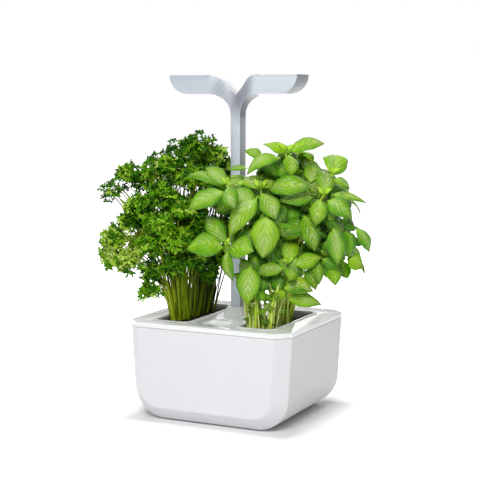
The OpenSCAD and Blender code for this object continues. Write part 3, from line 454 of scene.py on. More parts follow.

# %% [markdown]
# ## Basil leaves that face the front
# The leaves that are seen first shape the plant, so they are set one by one. Scattering them
# would be shorter, but then the leaves of a shoot would no longer form a cross, and the gaps
# between the shoots would fill up.

# %% Table of the front leaves
# Each row: base and tip of a leaf in mm from the deck's middle, width, roll, and tone;
# a low tone paints shade on a leaf that lies deep in the bush
FRONT_LEAVES = np.array([
    (66, -13, 191, 42, -24, 200, 14, 10, 0.62), (70, -11, 192, 103, 5, 201, 17, -14, 0.60),
    (70, -15, 188, 77, -26, 165, 17, 0, 0.50), (63, -21, 185, 33, -47, 168, 20, 12, 0.46),
    (36, -14, 185, 17, -18, 192, 11, 0, 0.55), (14, -57, 157, -10, -61, 175, 17, 0, 0.62),
    (7, -56, 154, -26, -73, 167, 17, 8, 0.55), (14, -64, 149, -16, -91, 131, 19, 8, 0.55),
    (19, -66, 153, 34, -77, 132, 18, 0, 0.50), (18, -60, 156, 29, -54, 163, 6, 0, 0.80),
    (26, -29, 173, 5, -39, 171, 6, 20, 0.50), (43, -38, 150, 19, -28, 162, 18, 0, 0.68),
    (45, -44, 144, 23, -70, 100, 22, 14, 0.50), (51, -43, 147, 69, -47, 120, 21, -8, 0.50),
    (52, -32, 151, 100, -22, 154, 21, -10, 0.45), (50, -37, 152, 59, -32, 161, 9, 0, 0.75),
    (107, -6, 147, 99, 14, 171, 21, 0, 0.50), (107, -15, 140, 105, -24, 112, 18, 6, 0.50),
    (113, 1, 144, 148, 18, 136, 14, -20, 0.55), (113, -10, 139, 141, -6, 119, 19, -12, 0.40),
    (96, -9, 142, 66, -34, 139, 18, 12, 0.40), (111, 8, 164, 101, 41, 187, 26, 0, 0.60),
    (113, 9, 161, 129, 17, 150, 12, -15, 0.50), (88, 2, 157, 86, 21, 180, 19, 10, 0.55),
    (13, -62, 87, -24, -80, 87, 27, 6, 0.55), (14, -59, 93, -10, -61, 122, 19, 0, 0.50),
    (21, -62, 90, 57, -79, 88, 25, -6, 0.55), (20, -67, 85, 29, -72, 53, 15, 10, 0.50),
    (78, -31, 72, 70, -13, 96, 20, 0, 0.62), (74, -38, 65, 45, -52, 60, 15, 6, 0.55),
    (85, -32, 69, 111, -20, 78, 16, -8, 0.60), (83, -40, 66, 90, -55, 55, 13, 0, 0.60),
    (94, -17, 65, 104, -19, 41, 14, -12, 0.45), (57, -46, 123, 58, -58, 78, 29, 0, 0.66),
    (88, -10, 113, 76, -42, 104, 22, 0, 0.20), (87, -13, 122, 102, -17, 83, 22, -10, 0.40),
    (39, -30, 138, 37, -47, 117, 17, 0, 0.15), (68, -14, 132, 82, -22, 111, 17, 0, 0.15),
    (58, -18, 87, 53, -34, 66, 17, 0, 0.20), (43, -59, 69, 45, -70, 28, 24, 6, 0.50),
    (47, -55, 43, 62, -48, 30, 10, 0, 0.35), (78, -40, 50, 107, -34, 42, 19, -6, 0.72),
    (79, -37, 32, 112, -21, 26, 15, -14, 0.60), (77, -38, 39, 61, -46, 33, 12, 8, 0.60),
    (52, -32, 58, 52, -51, 39, 17, 0, 0.15), (83, -17, 51, 90, -30, 29, 17, 0, 0.20),
    (60, -31, 58, 70, -41, 39, 16, 0, 0.20), (122, -13, 110, 130, -20, 70, 18, 6, 0.42),
    (140, 7, 108, 154, 14, 82, 13, -16, 0.35), (136, 10, 92, 147, 15, 92, 10, 0, 0.15),
    (131, 5, 74, 147, 13, 64, 16, -8, 0.60), (118, -10, 64, 128, -21, 48, 15, 0, 0.50),
    (104, -19, 73, 110, -24, 48, 12, 8, 0.40), (108, -11, 75, 129, 0, 56, 16, -8, 0.15),
    (127, 3, 116, 138, 9, 105, 13, 0, 0.20), (129, 6, 106, 135, 0, 75, 17, -6, 0.25),
    (110, 1, 124, 118, -1, 102, 14, 0, 0.12), (96, 6, 115, 97, -3, 92, 16, 0, 0.12)])
print("rows:", len(FRONT_LEAVES))

# %% [markdown]
# ## Setting the front leaves
# A real leaf turns its face to the light and away from its bush. Angles could be set by
# hand as well, but one rule for all is easier to follow: each blade faces the front, the
# sky and the outside of the bush, in fixed shares.

# %% Front leaves
SLOT = np.array([52.5, -5.0])    # middle of the right slot, in mm, which the left one mirrors
BASIL_MIDDLE = np.array([*SLOT, 110.0])
VIEW = direction(AZIMUTH, 0)
FORWARD = 9    # how far the front leaves stand forward of the places in the table, in mm
forward = FORWARD * np.clip((FRONT_LEAVES[:, 1:2] + 88) / 20, 0, 1) * VIEW
base, tip = FRONT_LEAVES[:, :3] + forward, FRONT_LEAVES[:, 3:6] + forward
lift = np.array([0, 0, DECK])
facing = unit(VIEW + np.array([0, 0, 0.75]) + 0.55 * unit((base + tip) / 2 - BASIL_MIDDLE))
# A blade that lies partly edge-on is really wider than it looks
axis = unit(tip - base)
over = unit(np.cross(axis, unit(facing - axis * (facing * axis).sum(-1, keepdims=True))))
seen = np.sqrt(1 - np.clip(over @ back, -0.8, 0.8) ** 2)
# Painted shade: leaves near the mast are painted darker, as they stand in more shade
tone = 0.18 + 0.8 * FRONT_LEAVES[:, 8] - 0.11 * np.clip((45 - base[:, 0]) / 30, 0, 1)
front_leaves = blades("basil_leaves_front", base + lift, tip + lift, FRONT_LEAVES[:, 6] * 1.10 / seen,
                      FRONT_LEAVES[:, 7] + 16 * np.sin(np.arange(len(base)) * 2.4), tone, facing)
dress(front_leaves, "right_cartridge", "basil_leaf", "basil_leaves")
print("front leaves:", len(base))

# %% [markdown]
# ## The rest of the basil
# Basil grows in crossed pairs: each shoot ends in four spreading leaves with a few small
# pale ones between them. Front shoots were set leaf by leaf. Those at the sides, the back
# and the inside are hardly seen, so one function spreads the four leaves of each.

# %% Shoots
# Each row: a shoot's middle in mm, heading of its first leaf in degrees, and leaf length
SHOOTS = np.array([
    (58, 36, 184, 75, 34), (75, 42, 168, 100, 38), (33, 36, 152, 60, 36), (108, 36, 140, 45, 38),
    (62, 56, 118, 90, 36), (34, 50, 92, 120, 32), (104, 46, 84, 60, 36), (80, 52, 58, 100, 32),
    (122, 10, 78, 20, 32), (38, 14, 172, 150, 32), (92, 30, 156, 30, 38), (58, 12, 164, 60, 34),
    (96, 24, 108, 10, 38), (44, 26, 118, 160, 34), (70, 30, 90, 70, 38), (56, 10, 82, 0, 34),
    (84, 2, 124, 45, 36), (50, -14, 112, 100, 34), (118, 26, 110, 20, 36), (88, 54, 100, 80, 34),
    (46, 54, 136, 110, 32), (86, 20, 66, 30, 34), (34, 30, 74, 150, 28), (66, -8, 134, 20, 34)],
    float)
# Middles of the shoots that the front leaves belong to
HEADS = np.array([(65.5, -13, 192), (14.5, -57, 156), (45.5, -37, 152), (107.5, -6, 145),
                  (14.5, -61, 90), (76.5, -32, 71), (110.5, 8, 168)]) + FORWARD * VIEW
rng = np.random.default_rng(21)


def spread(middle, heading, length, fall):
    """Leaves round a shoot's middle, 90 degrees apart. Outer shoots lean away from the bush:
    a leaf's tip is the middle plus its length along the heading, lowered by its fall."""
    count = len(middle)
    turn = np.radians(heading[:, None] + np.arange(4) * 90 + rng.uniform(-14, 14, (count, 4)))
    share = np.array([1, 0.8, 0.95, 0.75])[None] * length[:, None] * rng.uniform(0.9, 1.08, (count, 4))
    level = np.stack([np.cos(turn), np.sin(turn), -fall + rng.uniform(-0.15, 0.15, turn.shape)], -1)
    away = (middle - BASIL_MIDDLE) * [1, 1, 0.35]
    lean = np.clip(np.linalg.norm(away, axis=-1) / 95, 0, 0.9)[:, None, None]
    aside = (level * unit(away)[:, None]).sum(-1, keepdims=True)
    level = unit(level - lean * 0.6 * np.array([0, 0, 1]) * aside)
    start = middle[:, None] + level * 3
    end = start + level * share[..., None]
    up = unit(np.array([0, 0, 1.0]) + 0.55 * lean * unit(away)[:, None] + level * 0.15)
    return start.reshape(-1, 3), end.reshape(-1, 3), share.ravel(), up.reshape(-1, 3)


start, end, size, up = spread(SHOOTS[:, :3] + lift, SHOOTS[:, 3], SHOOTS[:, 4], 0.28)
tone = rng.uniform(0.35, 0.75, len(start))
rear_leaves = blades("basil_leaves_rear", start, end, size * rng.uniform(0.5, 0.6, len(size)),
                     rng.uniform(-22, 22, len(size)), tone, up, rows=9, columns=7)
dress(rear_leaves, "right_cartridge", "basil_leaf")
print("rear leaves:", len(start))

# %% [markdown]
# ## Leaves inside the bush
# Between the shoots a real bush is full of leaves. More shoots would fill it too, but
# leaves scattered just under the surface of the frame's own solid keep its outline.

# %% Random points on a surface
def surface_points(node, count, seed):
    """Random points on a node's surface, spread by area, with the direction outwards."""
    mesh = NODES[node].data
    mesh.calc_loop_triangles()
    co = np.zeros(len(mesh.vertices) * 3)
    mesh.vertices.foreach_get("co", co)
    corner = np.zeros(len(mesh.loop_triangles) * 3, int)
    mesh.loop_triangles.foreach_get("vertices", corner)
    tri = (co.reshape(-1, 3) / MM)[corner.reshape(-1, 3)]
    normal = np.cross(tri[:, 1] - tri[:, 0], tri[:, 2] - tri[:, 0])
    area = np.linalg.norm(normal, axis=1)
    rng = np.random.default_rng(seed)
    pick = rng.choice(len(tri), count, p=area / area.sum())
    u, v = rng.random((2, count))
    u, v = np.where(u + v > 1, 1 - u, u), np.where(u + v > 1, 1 - v, v)
    a, b, c = (tri[pick, i] for i in range(3))
    return a + (b - a) * u[:, None] + (c - a) * v[:, None], unit(normal[pick])


FILL = 270
at, outward = surface_points("basil_leaves", FILL, 17)
print("points on the bush:", len(at))

# %% Leaves inside the bush
rng = np.random.default_rng(18)
radial = unit((at - lift - BASIL_MIDDLE) * [1, 1, 0.8])
outward = unit(outward + 1.1 * radial + rng.normal(0, 0.25, at.shape))
toward = (radial @ VIEW)[:, None]
inset = rng.uniform(9, 17, (FILL, 1)) + 18 * np.clip(toward + 0.15, 0, 1)
along = unit(np.cross(outward, rng.normal(0, 1, at.shape)) + [0, 0, -0.35])
size = rng.uniform(25, 41, FILL)
middle = at - radial * inset
reach = along * size[:, None] / 2
# painted shade: leaves set deeper on the front of the bush are a little darker
fill_leaves = blades("basil_leaves_inside", middle - reach, middle + reach,
                     size * rng.uniform(0.52, 0.66, FILL), rng.uniform(-25, 25, FILL),
                     rng.uniform(0.28, 0.74, FILL) - 0.08 * np.clip(toward[:, 0], 0, 1),
                     outward + [0, 0, 0.45], rows=8, columns=5)
dress(fill_leaves, "right_cartridge", "basil_leaf")
print("leaves inside:", FILL)

# %% [markdown]
# ## Young leaves
# In the middle of each shoot stand a few folded, yellowish leaves that still have to grow.
# They could be left out behind the large ones, but they make the pale hearts of the bush.

# %% Young leaves
crowns = np.concatenate([HEADS, SHOOTS[:, :3]]) + lift
IN_A_HEART = 6
turn = rng.uniform(0, 2 * np.pi, (len(crowns), IN_A_HEART))
rise = rng.uniform(0.5, 1.5, turn.shape)
way = unit(np.stack([np.cos(turn), np.sin(turn), rise], -1) + 0.35 * VIEW)
young_len = rng.uniform(5, 10, turn.shape)
young_len[:len(HEADS)] *= 1.35
young_base = (crowns[:, None] + way * 0.8).reshape(-1, 3)
young_tip = (crowns[:, None] + way * (young_len[..., None] + 0.8)).reshape(-1, 3)
young = blades("basil_young_leaves", young_base, young_tip, young_len.ravel() * 0.52,
               rng.uniform(-30, 30, turn.size), rng.uniform(0.97, 1.0, turn.size),
               unit(VIEW + [0, 0, 0.6] + 0 * young_base), rows=8, columns=5, cup=0.3)
dress(young, "right_cartridge", "basil_leaf")
print("young leaves:", turn.size)

# %% [markdown]
# ## Basil stems
# Each shoot stands on a stem that rises from the medium, bows outwards and swells at its
# joints. One thick stem per herb would do at a distance, but here they show below the
# leaves, so every shoot has its own.

# %% Basil stems
SOIL = DECK - 9.6    # height of the medium's rim in mm


def bed_points(targets, middle, half_x, half_y):
    """Where stems leave the soil: each target's place in the bush, shrunk to the bed."""
    share = np.clip((targets[:, :2] - middle) / 85, -1, 1)
    return np.c_[middle + share * [half_x, half_y], np.full(len(targets), SOIL - 1)]


def joints(points, number, width):
    """Swelling at the joints of a stem, from 0 to 1: exp(-(distance to the joint / width)^2),
    with number joints on its way."""
    return np.exp(-((np.linspace(0, 1, points) * number % 1 - 0.5) / width) ** 2)


feet = bed_points(crowns, SLOT, 12, 36)
feet = feet + np.c_[rng.uniform(-3, 3, (len(crowns), 2)), np.zeros(len(crowns))]
bow = np.c_[rng.uniform(-5, 5, (len(crowns), 2)), rng.uniform(6, 14, len(crowns))]
bow[:, :2] -= 0.16 * (crowns - feet)[:, :2]
ways = bent(feet, crowns, bow, 14)
thick = np.linspace(1.75, 0.85, 14)[None] * rng.uniform(0.8, 1.1, (len(crowns), 1))
thick = thick + 0.25 * joints(14, 4, 0.12)
basil_stems = tubes("basil_stalks", ways, thick, rng.uniform(0.3, 0.9, len(crowns)))
dress(basil_stems, "right_cartridge", "basil_stem", "basil_stems")
print("stems with a shoot:", len(crowns))

# %% [markdown]
# ## Bare stalks at the front
# Near the front of the slot stand many thinner stalks, some of them cropped. They could be
# scattered like the rest, but a given list keeps them apart, and fifteen random ones
# between them take away its regularity.

# %% Front stalks
FRONT_STALKS = np.array([(36, -44), (39, -52), (44, -46), (47, -56), (50, -40), (53, -54), (57, -47),
                         (60, -36), (63, -50), (55, -28), (64, -26), (42, -30), (66, -40), (60, -14),
                         (48, -20), (65, -6), (38, -18)], float)
FRONT_STALKS = np.concatenate([FRONT_STALKS, rng.uniform((34, -60), (68, -34), (15, 2))])
feet = np.c_[FRONT_STALKS, np.full(len(FRONT_STALKS), SOIL - 1)]
tops = feet + np.c_[(FRONT_STALKS - [52, 0]) * [0.45, 0.04] + rng.uniform(-4, 4, FRONT_STALKS.shape),
                    rng.uniform(38, 62, len(feet))]
ways = bent(feet, tops, rng.uniform(-3.6, 3.6, feet.shape), 12)
thick = np.linspace(1.55, 1.0, 12)[None] * rng.uniform(0.5, 1.1, (len(feet), 1))
thick = thick * (1 + 0.28 * joints(12, 2.5, 0.15))
front_stalks = tubes("basil_front_stalks", ways, thick, rng.uniform(0.4, 1.05, len(feet)))
dress(front_stalks, "right_cartridge", "basil_stem")
print("bare stalks:", len(feet))

# %% [markdown]
# ## Small leaves low on the stalks
# A cropped stalk breaks out again in pairs of small leaves. They could be set at the joints
# only, but random places along the stalks look just as natural and need no bookkeeping.

# %% Low leaves
pairs = 38
pick, where = rng.integers(0, len(feet), pairs), rng.integers(4, 12, pairs)
bud = np.repeat(ways[pick, where], 2, axis=0)
turn = np.repeat(rng.uniform(0, np.pi, pairs), 2) + np.tile([0, np.pi], pairs)
way = unit(np.stack([np.cos(turn), np.sin(turn), rng.uniform(0.2, 0.9, 2 * pairs)], -1))
bud_len = rng.uniform(6, 14, (2 * pairs, 1))
low_leaves = blades("basil_low_leaves", bud + way, bud + way * bud_len, bud_len[:, 0] * 0.5,
                    rng.uniform(-30, 30, 2 * pairs), rng.uniform(0.35, 0.95, 2 * pairs),
                    unit(VIEW + [0, 0, 0.8] + 0 * bud), rows=8, columns=5)
dress(low_leaves, "right_cartridge", "basil_leaf")
print("low leaves:", 2 * pairs)

# %% [markdown]
# ## Parsley
# Parsley is a cloud of tiny curled leaflets. A particle system could scatter them, but
# arrays give the same result each time. The frame's solid for the herb is the surface
# that they cover: sprigs are scattered over it by area, each with eleven leaflets.

# %% Leaflet shape
RIM = 14    # points round a leaflet's outline


def leaflet_shape():
    """Closed leaflet with an outline and a middle point on each side. The outline's radius is
    0.42 + 0.17 cos 3a, plus and minus a tooth in turn; its edge ruffles with cos 5a."""
    angle = np.linspace(-np.pi, np.pi, RIM, endpoint=False)
    tooth = np.where(np.arange(RIM) % 2 == 0, -0.09, 0.09)
    radius = 0.42 + 0.17 * np.cos(3 * angle) + tooth
    curl = 0.17 * np.cos(5 * angle + 0.6) - 0.10 * np.cos(angle) - 0.3 * tooth
    ring = np.stack([0.42 + radius * np.cos(angle), 0.95 * radius * np.sin(angle), curl], -1)
    middle = np.array([[0.42, 0, 0.12], [0.42, 0, 0.02]])
    k = np.arange(RIM)
    after = (k + 1) % RIM
    upper = np.stack([np.full(RIM, RIM), k, after], -1)
    lower = np.stack([np.full(RIM, RIM + 1), after, k], -1)
    return np.concatenate([ring, middle]), np.concatenate([upper, lower])


print("corners and faces of a leaflet:", *(len(array) for array in leaflet_shape()))

# %% [markdown]
# ## Sprigs
# A parsley leaf is a flat sprig of stalked leaflets. Each sprig could be an instance of one
# mesh, but then all would be alike, so every leaflet gets its own turn, size and tone.

# %% Sprigs
# Place of each leaflet on a sprig, its heading in degrees, and its size, for a sprig 1 long
SPRIG = np.array([(1.00, 0.00, 0, 0.42), (0.84, 0.20, 48, 0.36), (0.84, -0.20, -48, 0.36),
                  (0.60, 0.38, 60, 0.38), (0.76, 0.44, 25, 0.34), (0.50, 0.52, 95, 0.33),
                  (0.60, -0.38, -60, 0.38), (0.76, -0.44, -25, 0.34), (0.50, -0.52, -95, 0.33),
                  (0.36, 0.20, 80, 0.36), (0.36, -0.20, -80, 0.36)])


def foliage(name, root, outward, length, tone, seed):
    """Sprigs with their middle at root: each lies across its outward direction, turned at
    random. A leaflet's points are its shape, times its size, turned and moved into place."""
    rng = np.random.default_rng(seed)
    count = len(root)
    up = unit(outward + [0, 0, 0.55] + rng.normal(0, 0.38, (count, 3)))
    along = outward * 0.55 + [0, 0, 0.1] + rng.normal(0, 0.75, (count, 3))
    along = unit(along - up * (along * up).sum(-1, keepdims=True))
    across = np.cross(up, along)
    place = SPRIG[:, :2] - [0.68, 0]
    droop = -0.30 * SPRIG[:, 0] ** 2
    origin = (root[:, None] + (along[:, None] * place[:, :1] + across[:, None] * place[:, 1:2]
              + up[:, None] * droop[:, None]) * length[:, None, None])
    heading = np.radians(SPRIG[:, 2])[None] + rng.normal(0, 0.35, (count, len(SPRIG)))
    ahead = along[:, None] * np.cos(heading)[..., None] + across[:, None] * np.sin(heading)[..., None]
    top = unit(up[:, None] + rng.normal(0, 0.45, ahead.shape))
    ahead = unit(ahead - top * (ahead * top).sum(-1, keepdims=True))
    beside = np.cross(top, ahead)
    size = SPRIG[:, 3] * length[:, None] * rng.uniform(0.8, 1.2, (count, len(SPRIG)))
    shape, faces = leaflet_shape()
    points = origin[:, :, None] + size[..., None, None] * (
        ahead[:, :, None] * shape[:, :1] + beside[:, :, None] * shape[:, 1:2]
        + top[:, :, None] * shape[:, 2:])
    many = count * len(SPRIG)
    all_faces = (faces[None] + (np.arange(many) * len(shape))[:, None, None]).reshape(-1, 3)
    shade = np.clip(tone[:, None] + rng.normal(0, 0.09, (count, len(SPRIG))), 0, 1)
    piece = as_mesh(name, points.reshape(-1, 3), all_faces, None, np.repeat(shade, len(shape)),
                    smooth=False)
    return piece, origin[:, 0]


print("leaflets on a sprig:", len(SPRIG))

# %% [markdown]
# ## Three layers of parsley
# In the real herb the outer sprigs are lit and the inner ones lie in shade, with deep gaps
# between them. A solid dark core could stand for the inside, but two more layers of
# sprigs, each painted darker than the one around it as shade, also look right through the gaps.

# %% Parsley layers
# Each layer: number of sprigs, least and greatest inset in mm, and how light it is, where
# a deeper layer is painted darker as shade
LAYERS = ((560, 3, 7, 0.57), (400, 6, 12, 0.31), (260, 12, 22, 0.02))
# Old sprigs hang out left of this x and between these heights above the deck, in mm
OLD_X, OLD_FROM, OLD_TO = -84, 48, 108
rng = np.random.default_rng(6)
count = 0
for layer, (sprigs, near, far, light) in enumerate(LAYERS):
    root, outward = surface_points("parsley_leaves", sprigs, 5 + layer)
    root = root - outward * rng.uniform(near, far, sprigs)[:, None]
    x, z = root[:, 0], root[:, 2]
    height = np.clip((z - DECK) / 200, 0, 1)
    below, above = (DECK + OLD_TO - z) / 24, (z - DECK - OLD_FROM) / 20
    old = np.clip((OLD_X - x) / 22, 0, 1) * np.clip(below, 0, 1) * np.clip(above, 0, 1)
    length = rng.uniform(13, 19, sprigs) * (1 + 0.25 * old)
    # painted light: higher sprigs are a little paler
    tone = np.clip(light + 0.10 * height ** 2 + 0.60 * old + rng.normal(0, 0.13, sprigs), 0, 1)
    piece, last = foliage("parsley_foliage_" + "abc"[layer], root, outward, length, tone, 30 + layer)
    straight = bent(root - outward * 8, last, np.zeros_like(root), 4)
    stalks = tubes("parsley_sprig_stalks_" + "abc"[layer], straight, np.full((sprigs, 4), 0.4),
                   tone, sides=4)
    dress(piece, "left_cartridge", "parsley_leaf", None if layer else "parsley_leaves")
    dress(stalks, "left_cartridge", "parsley_stem")
    count += sprigs * len(SPRIG)
print("parsley leaflets:", count)

# %% [markdown]
# ## Parsley stems
# Parsley has no main stem: each leaf stands on its own long stalk from the root. Stalks
# could end at the sprigs they carry, but the foliage hides their tops, so they aim at
# random points of it, and only their crowded feet are arranged.

# %% Parsley stems
rng = np.random.default_rng(12)
STALKS = 170
LEFT_SLOT = SLOT * [-1, 1]
tops, _ = surface_points("parsley_leaves", STALKS, 9)
tops = tops + ([*LEFT_SLOT, DECK + 100] - tops) * 0.12
feet = bed_points(tops, LEFT_SLOT, 11, 42)
feet = feet + np.c_[rng.normal(0, 2.0, (STALKS, 2)), np.zeros(STALKS)]
# The foremost stalks crowd together at the soil and fan out, and those behind are painted
# darker, as shade
feet[:, 1] = np.where(feet[:, 1] < -16, -42 + (feet[:, 1] + 32) * 0.7, feet[:, 1])
behind = np.clip((feet[:, 1] + 30) / 26, 0, 1)
lean = rng.normal(0, 1, (STALKS, 2)) * (5 + 1.5 * behind[:, None])
bow = np.c_[-0.20 * (tops - feet)[:, :2] + lean, rng.uniform(2, 12, STALKS)]
ways = bent(feet, tops, bow, 14)
thick = np.linspace(1.05, 0.5, 14)[None] * rng.uniform(0.7, 1.25, (STALKS, 1))
# painted shade on the stalks behind
tone = rng.uniform(0.0, 1, STALKS) * (1 - 0.62 * behind)
parsley_stems = tubes("parsley_stalks", ways, thick, tone, sides=6)
dress(parsley_stems, "left_cartridge", "parsley_stem", "parsley_stems")
print("parsley stalks:", STALKS)

# %% [markdown]
# ## Shader nodes with short names
# Every finish is a small tree of shader nodes on Object coordinates, so that grain and
# mottling stay fixed to the piece at their real size. Nodes can be wired by hand in the
# editor, but with short names for the common ones a finish reads like a formula.

# %% Node helpers
class Nodes:
    """A node tree. Values may be numbers, vectors, colours, or outputs of other nodes."""

    def __init__(self, tree):
        self.nodes, self.links = tree.nodes, tree.links

    def put(self, socket, value):
        """Links an output to a socket, or sets the socket's own value."""
        if isinstance(value, bpy.types.NodeSocket):
            self.links.new(value, socket)
        else:
            socket.default_value = (*value, 1) if socket.type == "RGBA" else value

    def add(self, kind, inputs=None, **settings):
        """New node with its settings. Its inputs are given by name or by number."""
        made = self.nodes.new("ShaderNode" + kind)
        for name, value in settings.items():
            setattr(made, name, value)
        for key, value in (inputs or {}).items():
            self.put(made.inputs[key], value)
        return made

    def math(self, operation, a, b=0.0, clamp=False):
        """One step of arithmetic. Clamping keeps its result between 0 and 1."""
        return self.add("Math", {0: a, 1: b}, operation=operation, use_clamp=clamp).outputs[0]

    def times(self, a, b, clamp=False):
        return self.math("MULTIPLY", a, b, clamp)

    def plus(self, a, b, clamp=False):
        return self.math("ADD", a, b, clamp)

    def minus(self, a, b, clamp=False):
        return self.math("SUBTRACT", a, b, clamp)

    def vector(self, operation, a, b=(0, 0, 0)):
        """Outputs of a step of vector arithmetic: first a vector, and by name a Value."""
        return self.add("VectorMath", {0: a, 1: b}, operation=operation).outputs

    def split(self, vector):
        """A vector's three components."""
        return self.add("SeparateXYZ", {0: vector}).outputs

    def noise(self, place, scale, detail=4.0, rough=0.55):
        inputs = {"Vector": place, "Scale": scale, "Detail": detail, "Roughness": rough}
        return self.add("TexNoise", inputs).outputs["Fac"]

    def span(self, value, low, high, start=0.3, stop=0.7):
        """low at start and below, high at stop and above, and in between in proportion."""
        inputs = {"Value": value, "From Min": start, "From Max": stop,
                  "To Min": low, "To Max": high}
        return self.add("MapRange", inputs).outputs["Result"]

    def mix(self, share, a, b, mode="MIX"):
        """Colour a with a share of colour b in it, or multiplied by it."""
        return self.add("Mix", {0: share, 6: a, 7: b}, data_type="RGBA", blend_type=mode).outputs[2]

    def ramp(self, value, stops):
        """Colour that runs from stop to stop."""
        made = self.add("ValToRGB", {"Fac": value})
        while len(made.color_ramp.elements) < len(stops):
            made.color_ramp.elements.new(0.5)
        for element, (place, colour) in zip(made.color_ramp.elements, stops):
            element.position, element.color = place, (*colour, 1)
        return made.outputs["Color"]


print("short names:", [name for name in vars(Nodes) if not name.startswith("_")])

# %% [markdown]
# ## A finish as a material
# Every finish on this object ends in the same all-round shader, which most of Blender's own
# materials start from too. Each could be built from nothing, but a small class that holds
# the material, its shader and its coordinates leaves only what makes a finish special.

# %% Materials
FINISH = {}


class Finish(Nodes):
    """A material, whose Principled shader is filled in input by input."""

    def __init__(self, name):
        self.material = bpy.data.materials.new(name)
        self.material.use_nodes = True
        super().__init__(self.material.node_tree)
        self.shader = self.nodes["Principled BSDF"]
        coordinates = self.add("TexCoord").outputs
        self.place, self.normal = coordinates["Object"], coordinates["Normal"]
        FINISH[name] = self.material

    def fill(self, values):
        """Gives inputs of the Principled shader their values, by name."""
        for name, value in values.items():
            self.put(self.shader.inputs[name], value)

    def colour(self):
        """The colour that the shader has so far."""
        return self.shader.inputs["Base Color"].links[0].from_socket

    def tone(self):
        """The tone stored on the piece's points: its own colour, and on some plants painted shade too.
        """
        return self.add("Attribute", attribute_name="tone").outputs["Fac"]

    def stretched(self, scale):
        """Object coordinates times a scale along each axis."""
        return self.add("Mapping", {"Vector": self.place, "Scale": scale}).outputs["Vector"]

    def bump(self, height, strength, distance):
        """Relief in the shading. A height of 1 stands for distance, in mm."""
        inputs = {"Height": height, "Strength": strength, "Distance": distance * MM}
        self.fill({"Normal": self.add("Bump", inputs).outputs["Normal"]})

    def surface(self, output):
        """Shows another shader's output in place of the Principled one."""
        self.put(self.nodes["Material Output"].inputs["Surface"], output)


print("a finish adds:", [name for name in vars(Finish) if not name.startswith("_")])

# %% [markdown]
# ## Plastics, rubber and metals
# The real parts are moulded, cast or extruded. A flat colour would look like a drawing, so
# each gets a faint mottle, a roughness that varies a little and a fine grain. An image
# texture could hold these, but noise needs no unwrapping and has no end.

# %% Moulded finishes
def moulded(name, dark, light, rough, grain, grain_scale, metal=0.0, stretch=(1, 1, 1)):
    """Mottle between two colours, roughness that varies by an eighth, and a grain that may
    be stretched along one axis, as on brushed or drawn metal."""
    finish = Finish(name)
    place = finish.place
    finish.fill({"Base Color": finish.ramp(finish.noise(place, 35), [(0.3, dark), (0.7, light)]),
                 "Roughness": finish.span(finish.noise(place, 90), rough * 0.88, rough * 1.12),
                 "Metallic": metal})
    finish.bump(finish.noise(finish.stretched(stretch), grain_scale), grain, 0.05)
    return finish


casing_finish = moulded("white_casing", (0.812, 0.822, 0.845), (0.828, 0.838, 0.861), 0.34, 0.10, 2600)
casing_finish.fill({"Specular IOR Level": 0.2})
deck_finish = moulded("white_deck", (0.87, 0.88, 0.88), (0.89, 0.90, 0.90), 0.12, 0.03, 1400)
deck_finish.fill({"Specular IOR Level": 1.0})
moulded("inner_plastic", (0.66, 0.67, 0.67), (0.72, 0.73, 0.73), 0.4, 0.15, 1500)
moulded("grey_plastic", (0.040, 0.038, 0.030), (0.065, 0.062, 0.050), 0.45, 0.2, 1500)
moulded("black_plastic", (0.012, 0.012, 0.014), (0.022, 0.022, 0.024), 0.5, 0.2, 1800)
moulded("grey_rubber", (0.07, 0.07, 0.075), (0.11, 0.11, 0.115), 0.75, 0.4, 1100)
moulded("lead_skin", (0.012, 0.012, 0.013), (0.022, 0.022, 0.024), 0.55, 0.3, 1200)
moulded("float_red", (0.55, 0.06, 0.03), (0.68, 0.09, 0.04), 0.4, 0.15, 1400)
moulded("steel", (0.50, 0.51, 0.54), (0.60, 0.61, 0.63), 0.3, 0.25, 900, 1.0, (1, 1, 0.05))
moulded("contact_brass", (0.70, 0.48, 0.18), (0.80, 0.58, 0.24), 0.22, 0.1, 900, 1.0)
moulded("sink_metal", (0.52, 0.53, 0.55), (0.62, 0.63, 0.65), 0.42, 0.3, 700, 1.0, (0.05, 1, 1))
moulded("light_board", (0.72, 0.72, 0.68), (0.80, 0.80, 0.76), 0.35, 0.1, 900)
moulded("green_board", (0.01, 0.09, 0.03), (0.02, 0.14, 0.05), 0.3, 0.3, 500)
moulded("wick_felt", (0.55, 0.52, 0.44), (0.72, 0.70, 0.62), 0.95, 0.9, 900, 0, (1, 1, 0.2))
for slot, glow, strength in (("light_panel", (0.80, 0.72, 1.0), 0.75),
                             ("light_source", (0.85, 0.6, 1.0), 1.0)):
    panel = moulded(slot, (0.66, 0.60, 0.82), (0.74, 0.68, 0.90), 0.4, 0.05, 900)
    panel.fill({"Emission Color": glow, "Emission Strength": strength})
print("moulded finishes:", len(FINISH))

# %% [markdown]
# ## Painted shade inside the slots
# The inside of each slot is painted dark, as painted shade and painted reflection of the dark
# medium, up to just below its lip. Paint on a mask could show that line, but the height above
# the worktop gives it directly.

# %% Slot finish
SLOT_SHADE_FROM, SLOT_SHADE_TO = DECK - 1.6, DECK + 1.2    # heights at which the painted shade starts to thin and ends
well = moulded("well_plastic", (0.85, 0.86, 0.86), (0.87, 0.88, 0.88), 0.13, 0.03, 1400)
shade_edge = well.plus(well.split(well.place)[2], well.times(well.noise(well.place, 90), 2 * MM))
painted_shade = well.span(shade_edge, 0.9, 0.0, SLOT_SHADE_FROM * MM, SLOT_SHADE_TO * MM)
# painted shade: the slot's inside is dark olive below its lip
well.fill({"Base Color": well.mix(painted_shade, well.colour(), (0.105, 0.100, 0.056))})
print("wet below", round(SLOT_SHADE_FROM, 1), "mm")

